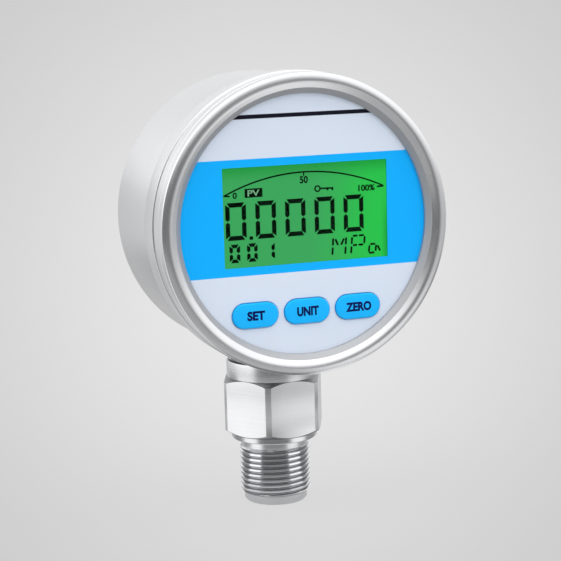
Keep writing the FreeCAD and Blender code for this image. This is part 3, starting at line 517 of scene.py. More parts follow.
class Board:
    """The node tree of one material, or of the world."""

    def __init__(self, owner: bpy.types.Material | bpy.types.World) -> None:
        """Start an empty tree on its owner."""
        owner.use_nodes = True
        self.owner = owner
        self.tree = owner.node_tree
        self.tree.nodes.clear()

    @classmethod
    def material(cls, name: str) -> "Board":
        """The tree of a new material."""
        return cls(bpy.data.materials.new(name))

    def node(self, kind: str, settings: Mapping[str, object] | None = None,
             sockets: Mapping[int | str, object] | None = None, output: int | str = 0) -> Wire:
        """Add a node.

        Args:
            kind: The node's type.
            settings: Its properties, set first.
            sockets: Values or wires for its inputs, by name or number.
            output: The output that is returned.

        Returns:
            The node's output.
        """
        made = self.tree.nodes.new(kind)
        for key, value in (settings or {}).items():
            setattr(made, key, value)
        for key, value in (sockets or {}).items():
            if isinstance(value, Wire):
                self.tree.links.new(value.socket, made.inputs[key])
            else:
                made.inputs[key].default_value = value
        return Wire(self, made.outputs[output]) if made.outputs else None

    def place(self) -> tuple[Wire, Wire, Wire, Wire]:
        """Object coordinates in millimetres.

        Returns:
            The vector, and its x, y and z.
        """
        metres = self.node("ShaderNodeTexCoord", output="Object")
        vector = self.node("ShaderNodeVectorMath", {"operation": "SCALE"},
                           {0: metres, "Scale": 1 / MM})
        return vector, *self.split(vector)

    def split(self, vector: Wire) -> list[Wire]:
        """The x, y and z of a vector."""
        return [self.node("ShaderNodeSeparateXYZ", None, {0: vector}, output=axis)
                for axis in range(3)]

    def vector(self, x: Number, y: Number, z: Number) -> Wire:
        """A vector from three values."""
        return self.node("ShaderNodeCombineXYZ", None, {0: x, 1: y, 2: z})

    def noise(self, vector: Wire, scale: float, detail: float = 2.0, rough: float = 0.5) -> Wire:
        """Smooth noise from 0 to 1.

        Args:
            vector: Where it is read.
            scale: Its frequency.
            detail: How many finer layers it has.
            rough: How strong the finer layers are.

        Returns:
            The noise value.
        """
        sockets = {"Vector": vector, "Scale": scale, "Detail": detail, "Roughness": rough}
        return self.node("ShaderNodeTexNoise", None, sockets)

    def mix(self, factor: Number, first: object, second: object) -> Wire:
        """A colour between two colours.

        Args:
            factor: 0 gives the first, 1 the second.
            first: A colour or a wire.
            second: A colour or a wire.

        Returns:
            The colour.
        """
        colours = {key: (*value, 1) if isinstance(value, tuple) else value
                   for key, value in ((6, first), (7, second))}
        return self.node("ShaderNodeMix", {"data_type": "RGBA"}, {0: factor, **colours},
                         output=2)

    def bump(self, height: Number, depth: float) -> Wire:
        """A normal tilted by a height.

        Args:
            height: Height from 0 to 1.
            depth: Millimetres between 0 and 1.

        Returns:
            The normal.
        """
        sockets = {"Strength": 1.0, "Distance": depth * MM, "Height": height}
        return self.node("ShaderNodeBump", None, sockets)

    def finish(self, sockets: Mapping[str, object]) -> bpy.types.Material:
        """Close the material with a Principled shader.

        Args:
            sockets: Values or wires for the shader's inputs.

        Returns:
            The material.
        """
        plain = {key: (*value, 1) if isinstance(value, tuple) and len(value) == 3 else value
                 for key, value in sockets.items()}
        shader = self.node("ShaderNodeBsdfPrincipled", None, plain)
        self.node("ShaderNodeOutputMaterial", None, {"Surface": shader})
        return self.owner


# ---------------------------------------------------------------- finishes


class Grain(Enum):
    """Which way a metal's fine lines run."""

    ROUND_DIAL = "round the dial"
    ROUND_STEM = "round the stem"
    LEVEL = "level"
    NONE = "none"


@dataclass(frozen=True)
class Steel:
    """Stainless steel with fine machining lines.

    Attributes:
        name: The material's name.
        tint: Its colour.
        roughness: Its mean roughness.
        grain: The lines' direction.
        pitch: Millimetres between strong lines.
        swing: How much the roughness varies between lines.
        relief: Depth of the lines, in millimetres.
        contrast: How much darker the darkest lines are.
        stretch: How far highlights stretch along the stem, from 0 to 1.
        accent_and_painted_shade_tint: Colour of the accented part, as a share of the rest's: a
            duller finish on some parts, painted shade on the thread's grooves and the hexagon's
            chamfers.
        accent_roughness: Roughness of the accented part.
        accent_relief: Depth of its lines, as a multiple of the rest's.
        drift: How much the pattern changes along a line, as a share of across it.
        cloud_scale: Frequency of the slow clouding, per millimetre.
        tint_lines: The lines' share in the colour's variation; clouding makes the rest.
        rough_lines: Their share in the roughness's variation.
        lightest: The lightest lines, as a multiple of the tint.
    """

    name: str
    tint: Colour
    roughness: float
    grain: Grain
    pitch: float = 0.25
    swing: float = 0.1
    relief: float = 0.002
    contrast: float = 0.14
    stretch: float = 0.0
    accent_and_painted_shade_tint: float = 0.7
    accent_roughness: float = 0.55
    accent_relief: float = 5.0
    drift: float = 0.06
    cloud_scale: float = 0.12
    tint_lines: float = 0.65
    rough_lines: float = 0.7
    lightest: float = 1.05

    def _grain_vector(self, board: Board, datum: Datum) -> Wire:
        """Coordinates that change fast across the lines and slowly along them."""
        vector, x, y, z = board.place()
        along = self.drift * self.pitch
        up = z - datum.dial_height
        if self.grain is Grain.ROUND_DIAL:
            radius = (x * x + up * up).root()
            return board.vector(radius + along * x, y + along * up, along * (x - up))
        if self.grain is Grain.ROUND_STEM:
            radius = (x * x + y * y).root()
            return board.vector(radius + along * x, z + along * y, along * (x + y))
        if self.grain is Grain.LEVEL:
            return board.vector(along * x, along * y, z)
        return vector

    def _accent_and_painted_shade(self, board: Board, datum: Datum) -> Wire | None:
        """Where the surface is machined differently, and where its colour carries painted shade,
        from 0 to 1; None where neither is.
        """
        return None

    def make(self, datum: Datum) -> bpy.types.Material:
        """Build the material."""
        board = Board.material(self.name)
        lines = self._grain_vector(board, datum)
        coarse = board.noise(lines, 1 / self.pitch, detail=3.0, rough=0.6)
        vector = board.place()[0]
        cloud = board.noise(vector, self.cloud_scale)
        dark = tuple((1 - self.contrast) * value for value in self.tint)
        light = tuple(min(1.0, self.lightest * value) for value in self.tint)
        tint = board.mix(coarse.blend(cloud, self.tint_lines), dark, light)
        roughness = (self.roughness - self.swing / 2
                     + self.swing * coarse.blend(cloud, self.rough_lines))
        height = coarse
        # The accent darkens the tint: a duller finish on some parts, painted shade on the thread's
        # grooves and the hexagon's chamfers.
        accent = self._accent_and_painted_shade(board, datum)
        if accent is not None:
            tint = board.mix(accent, tint, tuple(self.accent_and_painted_shade_tint * value for value in self.tint))
            roughness = roughness + (self.accent_roughness - self.roughness) * accent
            height = coarse * (1 + (self.accent_relief - 1) * accent)
        return board.finish({
            "Base Color": tint,
            "Metallic": 1.0,
            "Roughness": roughness,
            "Anisotropic": self.stretch,
            "Normal": board.bump(height, self.relief),
        })


@dataclass(frozen=True)
class BezelSteel(Steel):
    """Satin bezel whose cone at the lip is turned more coarsely.

    Attributes:
        cone_radius: Where the cone ends.
        edge: Half the width of the change.
    """

    cone_radius: float = 36.2
    edge: float = 0.03

    def _accent_and_painted_shade(self, board: Board, datum: Datum) -> Wire:
        """The cone, nearer to the dial's axis than its edge."""
        _, x, _, z = board.place()
        up = z - datum.dial_height
        radius = (x * x + up * up).root()
        return 1 - radius.step(self.cone_radius - self.edge, self.cone_radius + self.edge)


@dataclass(frozen=True)
class ThreadSteel(Steel):
    """Cut thread: bright crests, and grooves that are rougher and painted darker as shade.

    Attributes:
        groove_radius: Radius up to which the groove is rougher and painted darker, as shade, all
            over.
        crest_radius: Radius from which the crest is bright all over.
    """

    groove_radius: float = 9.45
    crest_radius: float = 9.9

    def _accent_and_painted_shade(self, board: Board, datum: Datum) -> Wire:
        """The grooves, whose darker colour is painted shade."""
        _, x, y, _ = board.place()
        return 1 - (x * x + y * y).root().step(self.groove_radius, self.crest_radius)


@dataclass(frozen=True)
class HexagonSteel(Steel):
    """Ground wrench faces with dull turned corners, and chamfers painted darker as shade.

    Attributes:
        corner_radius: Radius that the corners are turned to.
        corner_edge: How far inside that radius the corners' look starts and is complete.
        corner_share: How much of the accent the corners take.
        chamfer_slope: Upward share of a face's normal over which it counts as a chamfer.
    """

    corner_radius: float = 14.8
    corner_edge: Point2 = (0.05, 0.03)
    corner_share: float = 0.25
    chamfer_slope: Point2 = (0.45, 0.6)

    def _accent_and_painted_shade(self, board: Board, datum: Datum) -> Wire:
        """The chamfers in full, which face up or down and are painted darker as shade, and the
        turned corners in part.
        """
        normal = board.node("ShaderNodeNewGeometry", output="True Normal")
        chamfer = abs(board.split(normal)[2]).step(*self.chamfer_slope)
        _, x, y, _ = board.place()
        start, end = (self.corner_radius - inside for inside in self.corner_edge)
        corner = (x * x + y * y).root().step(start, end)
        return chamfer + self.corner_share * corner * (1 - chamfer)


@dataclass(frozen=True)
class Moulded:
    """Moulded plastic or rubber with a fine texture.

    Attributes:
        name: The material's name.
        tint: Its colour.
        roughness: Its mean roughness.
        texture: Size of the texture's bumps, in millimetres.
        relief: Depth of the texture, in millimetres.
        variation: How much lighter and darker the colour gets.
        metallic: 1 for bare metal.
        gloss: Strength of its surface reflection, 0.5 for common plastic.
        patch_scale: Frequency of its slow unevenness, per millimetre.
        swing: How much the roughness varies.
    """

    name: str
    tint: Colour
    roughness: float
    texture: float = 0.3
    relief: float = 0.01
    variation: float = 0.1
    metallic: float = 0.0
    gloss: float = 0.5
    patch_scale: float = 0.25
    swing: float = 0.12

    def make(self, datum: Datum) -> bpy.types.Material:
        """Build the material."""
        board = Board.material(self.name)
        vector, *_ = board.place()
        fine = board.noise(vector, 1 / self.texture)
        broad = board.noise(vector, self.patch_scale)
        dark = tuple(value * (1 - self.variation) for value in self.tint)
        light = tuple(min(1.0, value * (1 + self.variation)) for value in self.tint)
        return board.finish({
            "Base Color": board.mix(fine.blend(broad, 0.5), dark, light),
            "Metallic": self.metallic,
            "Roughness": self.roughness - self.swing / 2 + self.swing * fine,
            "Specular IOR Level": self.gloss,
            "Normal": board.bump(fine, self.relief),
        })


@dataclass(frozen=True)
class PrintedFilm:
    """Pale front film with a blue band and a thin black line.

    Attributes:
        name: The material's name.
        pale: The film's ground.
        blue: The band.
        black: The line.
        band: Lower and upper edge of the band, in millimetres above the dial's axis.
        line: Lower and upper edge of the line, likewise.
        edge: Half the width of a printed edge's softness, in millimetres.
        mottling: How much darker the ground gets in patches.
        gloss: Strength of its surface reflection, low as on a matt film.
    """

    name: str = "printed_film"
    pale: Colour = srgb(214, 224, 239)
    blue: Colour = srgb(13, 174, 254)
    black: Colour = srgb(16, 18, 32)
    band: Point2 = (-12.5, 18.2)
    line: Point2 = (28.6, 29.7)
    edge: float = 0.05
    mottling: float = 0.03
    gloss: float = 0.1

    def make(self, datum: Datum) -> bpy.types.Material:
        """Build the material."""
        board = Board.material(self.name)
        vector, _, _, z = board.place()
        up = z - datum.dial_height
        band, line = up.within(self.band, self.edge), up.within(self.line, self.edge)
        mottle = board.noise(vector, 0.08, detail=1.0)
        darker = tuple((1 - self.mottling) * value for value in self.pale)
        ground = board.mix(mottle, darker, self.pale)
        grain = board.noise(vector, 6.0)
        return board.finish({
            "Base Color": board.mix(line, board.mix(band, ground, self.blue), self.black),
            "Roughness": 0.4 + 0.1 * grain,
            "Specular IOR Level": self.gloss,
            "Normal": board.bump(grain, 0.003),
        })


@dataclass(frozen=True)
class GreenDisplay:
    """Backlit display cell: brighter towards the lamp, darker along two edges.

    Places across and up it run from -1 to 1 between its edges.

    Attributes:
        name: The material's name.
        left: Glow of its left part.
        right: Glow near the lamp, at the right.
        dark: Glow along the dark edges.
        centre: Its middle, in millimetres from the dial's axis.
        half: Half its width and height, in millimetres.
        lamp_rise: Places across over which the glow changes to that near the lamp.
        clouding: How far noise shifts that change.
        top_shade: Places up over which it darkens to the top edge.
        right_shade: Places across over which it darkens to the right edge.
        right_shade_ends: Places up over which the right edge's darkening fades out.
        right_shade_share: How strong that is beside the top edge's.
        shade_share: How much of the dark tone the edges take.
        glow_level: Strength of the glow.
        gloss: Strength of its surface reflection, low behind the window.
    """

    name: str = "green_display"
    left: Colour = srgb(63, 170, 95)
    right: Colour = srgb(42, 199, 78)
    dark: Colour = srgb(22, 150, 55)
    centre: Point2 = (0.6, 2.9)
    half: Point2 = (23.25, 13.2)
    lamp_rise: Point2 = (0.15, 1.05)
    clouding: float = 0.25
    top_shade: Point2 = (0.62, 1.1)
    right_shade: Point2 = (0.93, 1.02)
    right_shade_ends: Point2 = (-0.6, 0.4)
    right_shade_share: float = 0.8
    shade_share: float = 0.9
    glow_level: float = 0.93
    gloss: float = 0.03

    def make(self, datum: Datum) -> bpy.types.Material:
        """Build the material."""
        board = Board.material(self.name)
        vector, x, _, z = board.place()
        across = (x - self.centre[0]) / self.half[0]
        up = (z - datum.dial_height - self.centre[1]) / self.half[1]
        cloud = board.noise(vector, 0.2)
        towards_lamp = (across + self.clouding * cloud).step(*self.lamp_rise)
        right = across.step(*self.right_shade) * (1 - up.step(*self.right_shade_ends))
        shade = up.step(*self.top_shade) + self.right_shade_share * right
        plain = board.mix(towards_lamp, self.left, self.right)
        return board.finish({
            "Base Color": (0.002, 0.012, 0.004),
            "Roughness": 0.35,
            "Specular IOR Level": self.gloss,
            "Emission Color": board.mix(self.shade_share * shade, plain, self.dark),
            "Emission Strength": self.glow_level,
            "Normal": board.bump(board.noise(vector, 5.0), 0.002),
        })


@dataclass(frozen=True)
class ClearPlastic:
    """Clear window plate, which bends and mirrors light less than glass does.

    Attributes:
        name: The material's name.
        tint: Colour of what is seen through it.
        refraction: Its refractive index, low so that it mirrors little of the studio.
        gloss: Strength of its surface reflection.
    """

    name: str = "clear_plastic"
    tint: Colour = (0.97, 1.0, 0.98)
    refraction: float = 1.15
    gloss: float = 0.02

    def make(self, datum: Datum) -> bpy.types.Material:
        """Build the material."""
        board = Board.material(self.name)
        vector, *_ = board.place()
        smear = board.noise(vector, 0.3)
        return board.finish({
            "Base Color": self.tint,
            "Roughness": 0.03 + 0.03 * smear,
            "IOR": self.refraction,
            "Specular IOR Level": self.gloss,
            "Transmission Weight": 1.0,
        })


@dataclass(frozen=True)
class BoardLaminate:
    """Green circuit board with faint tracks.

    Attributes:
        name: The material's name.
        ground: Its colour between the tracks.
        track: Its colour on the tracks.
        turns: How fast the track pattern changes across and up, in radians per millimetre.
        wander: How far noise bends the tracks, in radians.
        track_edge: Height of the pattern over which a track begins.
    """

    name: str = "board_laminate"
    ground: Colour = (0.008, 0.11, 0.045)
    track: Colour = (0.03, 0.24, 0.10)
    turns: Point2 = (2.2, 0.35)
    wander: float = 3.0
    track_edge: Point2 = (0.55, 0.7)

    def make(self, datum: Datum) -> bpy.types.Material:
        """Build the material."""
        board = Board.material(self.name)
        vector, x, _, z = board.place()
        across = (x * self.turns[0] + self.wander * board.noise(vector, 0.12)).wave()
        tracks = (across * (z * self.turns[1]).wave()).step(*self.track_edge)
        weave = board.noise(vector, 3.0, detail=3.0)
        return board.finish({
            "Base Color": board.mix(tracks, self.ground, self.track),
            "Roughness": 0.3 + 0.12 * weave,
            "Coat Weight": 0.4,
            "Coat Roughness": 0.2,
            "Normal": board.bump(tracks, 0.02),
        })


@dataclass(frozen=True)
class BatteryWrap:
    """Plain battery sleeve: dark with a copper-coloured band at one end.

    Attributes:
        name: The material's name.
        band_from: Where the band begins, in millimetres; it runs away from the middle.
        sleeve: The sleeve's colour.
        band: The band's colour.
        edge: Width of the band's soft edge, in millimetres.
    """

    name: str
    band_from: float
    sleeve: Colour = (0.02, 0.022, 0.026)
    band: Colour = (0.55, 0.25, 0.08)
    edge: float = 0.1

    def make(self, datum: Datum) -> bpy.types.Material:
        """Build the material."""
        board = Board.material(self.name)
        vector, x, *_ = board.place()
        outwards = math.copysign(1, self.band_from) * x
        on_band = outwards.step(abs(self.band_from), abs(self.band_from) + self.edge)
        grain = board.noise(vector, 2.0)
        return board.finish({
            "Base Color": board.mix(on_band, self.sleeve, self.band),
            "Roughness": 0.28 + 0.1 * grain,
            "Coat Weight": 0.5,
            "Normal": board.bump(grain, 0.004),
        })


@dataclass(frozen=True)
class Ribbon:
    """Grey flat cable whose four cores show as ridges.

    Attributes:
        name: The material's name.
        pitch: Millimetres between cores.
        relief: Height of the ridges, in millimetres.
        valley: Colour between the cores.
        ridge: Colour on them.
    """

    name: str = "ribbon"
    pitch: float = 1.3
    relief: float = 0.15
    valley: Colour = (0.24, 0.24, 0.26)
    ridge: Colour = (0.5, 0.5, 0.52)

    def make(self, datum: Datum) -> bpy.types.Material:
        """Build the material."""
        board = Board.material(self.name)
        vector, x, *_ = board.place()
        core = 0.5 + 0.5 * (x * (math.tau / self.pitch)).wave()
        scuff = board.noise(vector, 1.5)
        return board.finish({
            "Base Color": board.mix(core.blend(scuff, 0.7), self.valley, self.ridge),
            "Roughness": 0.42 + 0.12 * scuff,
            "Normal": board.bump(core, self.relief),
        })


# ---------------------------------------------------------------- bezel and case


@dataclass
class Bezel:
    """Turned steel ring: lip, inner face, rolled crest, rim and skirt. Millimetres.

    Radii are from the dial's axis and depths from the ring's front plane.

    Attributes:
        face_radius: Where the lip's cone meets the inner face.
        inner_roll: Radius of the crest's rolled section, inwards of the crest.
        outer_roll: The same, outwards of it.
        tilt: How far each roll turns, in degrees.
        lines: Depths of the fine turned lines.
        edge_break: Size of the small breaks along sharp edges.
        bore_chamfer: Chamfer at the front of the bore.
    """

    bench: Bench
    skirt_radius: float = 40.5
    rim_radius: float = 40.25
    skirt_depth: float = 15.5
    bore_radius: float = 39.4
    lip_radius: float = 34.7
    lip_front: float = 2.1
    lip_back: float = 3.0
    face_radius: float = 36.2
    crest_radius: float = 38.4
    inner_roll: float = 2.4
    outer_roll: float = 3.2
    edge_round: float = 0.5
    tilt: float = 30.0
    lines: tuple[float, float] = (3.8, 8.0)
    line_depth: float = 0.15
    edge_break: float = 0.06
    bore_chamfer: float = 0.4
    steel: Steel = BezelSteel("bezel_steel", (0.74, 0.745, 0.76), 0.26, Grain.ROUND_DIAL,
                              0.2, 0.08, 0.001, accent_and_painted_shade_tint=0.68, accent_roughness=0.68)

    def section(self) -> list[Point2]:
        """Closed section as (radius, height) points; heights are negative depths."""
        tilt = math.radians(self.tilt)
        roll_end = self.crest_radius - self.inner_roll * math.sin(tilt)
        face_depth = (self.inner_roll * (1 - math.cos(tilt))
                      + (roll_end - self.face_radius) * math.tan(tilt))
        edge_centre = (self.rim_radius - self.edge_round,
                       (self.outer_roll - self.edge_round) * math.cos(tilt) - self.outer_roll)
        first, second = self.lines
        cut, ease, back = self.line_depth, self.edge_break, self.lip_back
        points = [
            (self.lip_radius, -back),
            (self.lip_radius, -self.lip_front - ease),
            (self.lip_radius + ease, ease * 0.5 - self.lip_front),
            (self.face_radius - ease, -face_depth - ease * 0.8),
            (self.face_radius + ease, -face_depth + ease * 0.4),
            *arc((self.crest_radius, -self.inner_roll), self.inner_roll, 90 + self.tilt, 90, 10),
            *arc((self.crest_radius, -self.outer_roll), self.outer_roll,
                 90, 90 - self.tilt, 12)[1:],
            *arc(edge_centre, self.edge_round, 90 - self.tilt, 0, 8)[1:],
            (self.rim_radius, cut - first),
            (self.rim_radius - cut, -first),
            (self.rim_radius, -first - cut),
            (self.rim_radius, cut - second),
            (self.rim_radius - cut, -second),
            (self.skirt_radius - ease, -second - cut),
            (self.skirt_radius, -second - cut - ease),
            *arc((self.skirt_radius - self.edge_round, self.edge_round - self.skirt_depth),
                 self.edge_round, 0, -90, 6),
            (self.bore_radius, -self.skirt_depth),
            (self.bore_radius, -back - self.bore_chamfer),
            (self.bore_radius - self.bore_chamfer, -back),
        ]
        return points + points[:1]

    def build(self) -> bpy.types.Object:
        """Model, set down and dress the ring."""
        ring = self.bench.turned("bezel", self.section(), 256)
        self.bench.settle(ring, Side.DIAL, 18)
        return self.bench.fit_out(ring, self.steel.make(self.bench.datum), "case", "bezel_steel",
                                  ["bezel_ring"])


@dataclass
class Drum:
    """Drawn drum with a turned-in front edge, a rolled rear edge and a cover ring.

    Millimetres: radii from the dial's axis, depths from the bezel's front plane.
    """

    bench: Bench
    radius: float = 39.35
    wall: float = 1.0
    mouth_radius: float = 36.6
    mouth_depth: float = 7.3
    mouth_round: float = 0.8
    rear_depth: float = 47.5
    rear_round: float = 1.2
    flange_radius: float = 31.0
    flange: tuple[float, float] = (43.9, 45.4)
    cover_seat: float = 38.0
    seat_chamfer: float = 0.1
    steel: Steel = Steel("drum_steel", (0.7, 0.705, 0.72), 0.3, Grain.ROUND_DIAL,
                         0.3, 0.1, 0.0015)

    def section(self) -> list[Point2]:
        """Closed section as (radius, height) points."""
        front, back = self.flange
        inner = self.radius - self.wall
        edge = self.mouth_round
        points = [
            (self.mouth_radius, -self.mouth_depth),
            *arc((self.radius - edge, -self.mouth_depth - edge), edge, 90, 0, 6),
            *arc((self.radius - self.rear_round, self.rear_round - self.rear_depth),
                 self.rear_round, 0, -90, 10),
            (self.cover_seat + self.seat_chamfer, -self.rear_depth),
            (self.cover_seat, -self.rear_depth + self.seat_chamfer),
            (self.cover_seat, -back),
            (self.flange_radius, -back),
            (self.flange_radius, -front),
            (inner, -front),
            (inner, -self.mouth_depth - self.wall),
            (self.mouth_radius, -self.mouth_depth - self.wall),
        ]
        return points + points[:1]

    def build(self) -> bpy.types.Object:
        """Model, set down and dress the drum."""
        drum = self.bench.turned("drum", self.section(), 256)
        self.bench.settle(drum, Side.DIAL, 32)
        return self.bench.fit_out(drum, self.steel.make(self.bench.datum), "case", "case_steel",
                                  ["case_shell"])


@dataclass
class RearCover:
    """Turned plate with a shallow recess, and its countersunk screws. Millimetres.

    Attributes:
        edge_chamfer: Chamfer round the plate's back.
        chamfer_swell: How far in from the sharp corner the chamfer's middle lies, each way.
        recess_run: Where the recess's wall bends, outwards of recess_radius.
        recess_ease: How much its corners are eased.
        screw_start: How far in front of the plate's front face a screw begins.
        head_gap: Clearance round a screw's head.
        shank_gap: Clearance round its shank.
        overcut: How far cutting shapes reach past the plate.
        head_edge: How far in from a head's full radius its edge begins and ends.
        slot: Half the length and half the width of one arm of the cross recess.
        slot_depth: Depth of the cross recess.
    """

    bench: Bench
    radius: float = 37.9
    front_depth: float = 45.9
    back_depth: float = 47.4
    recess_radius: float = 25.5
    recess: float = 0.5
    screw_circle: float = 34.6
    screw_count: int = 4
    head_radius: float = 2.7
    shank_radius: float = 1.2
    edge_chamfer: float = 0.3
    chamfer_swell: float = 0.09
    recess_run: tuple[float, ...] = (0.95, 0.75, 0.1, -0.1)
    recess_ease: float = 0.06
    screw_start: float = 1.8
    head_gap: float = 0.08
    shank_gap: float = 0.05
    overcut: float = 0.5
    head_edge: Point2 = (0.06, 0.14)
    slot: Point2 = (1.5, 0.36)
    slot_depth: float = 0.9
    steel: Steel = Steel("cover_steel", (0.7, 0.705, 0.72), 0.28, Grain.ROUND_DIAL,
                         0.35, 0.12, 0.002)
    screw_steel: Steel = Steel("screw_steel", (0.66, 0.66, 0.67), 0.22, Grain.NONE,
                               0.6, 0.1, 0.002)

    def screw_places(self) -> list[Point2]:
        """Where the screws stand, from the dial's axis."""
        places = []
        for index in range(self.screw_count):
            angle = math.radians(45 + 360 / self.screw_count * index)
            places.append((self.screw_circle * math.cos(angle),
                           self.screw_circle * math.sin(angle)))
        return places

    def plate(self) -> bpy.types.Object:
        """The cover, cut for the screw heads."""
        front, back = -self.front_depth, -self.back_depth
        floor = back + self.recess
        chamfer, swell, ease = self.edge_chamfer, self.chamfer_swell, self.recess_ease
        outer, upper, lower, inner = (self.recess_radius + run for run in self.recess_run)
        profile = [
            (0, front),
            (self.radius, front),
            (self.radius, back + chamfer),
            (self.radius - swell, back + swell),
            (self.radius - chamfer, back),
            (outer, back),
            (upper, back + ease),
            (lower, floor - ease),
            (inner, floor),
            (0, floor),
        ]
        cover = self.bench.turned("rear_cover_plate", profile)
        head = self.head_radius + self.head_gap
        for place in self.screw_places():
            tool = self.bench.turned("countersink", [
                (0, front + self.overcut),
                (self.shank_radius, front + self.overcut),
                (self.shank_radius + self.shank_gap, front),
                (head, back),
                (head, back - self.overcut),
                (0, back - self.overcut),
            ], 48)
            tool.data.transform(Matrix.Translation((*place, 0)))
            self.bench.carve(cover, tool)
        return cover

    def screw(self) -> bpy.types.Object:
        """One countersunk screw with a cross recess, on the dial's axis."""
        front, back = -self.front_depth, -self.back_depth
        first, last = self.head_edge
        screw = self.bench.turned("cover_screw", [
            (0, front + self.screw_start),
            (self.shank_radius, front + self.screw_start),
            (self.shank_radius, front),
            (self.head_radius - first, back + first),
            (self.head_radius - last, back),
            (0, back),
        ], 48)
        for across, up in (self.slot, self.slot[::-1]):
            outline = [(-across, -up), (across, -up), (across, up), (-across, up)]
            arm = self.bench.plate("arm", outline, back - self.overcut, back + self.slot_depth)
            self.bench.carve(screw, arm)
        return screw

    def build(self) -> list[bpy.types.Object]:
        """Model, set down and dress the cover and its screws."""
        bench = self.bench
        cover = bench.settle(self.plate(), Side.DIAL, 28)
        bench.fit_out(cover, self.steel.make(bench.datum), "case", "case_steel", ["rear_cover"])
        pattern = self.screw()
        screws = [bench.copied(pattern, (*place, 0)) for place in self.screw_places()]
        bpy.data.objects.remove(pattern)
        joined = bench.settle(bench.join("cover_screw_set", screws), Side.DIAL, 28)
        bench.fit_out(joined, self.screw_steel.make(bench.datum), "case", "screw_steel",
                      ["cover_screws"])
        return [cover, joined]


# ---------------------------------------------------------------- stem


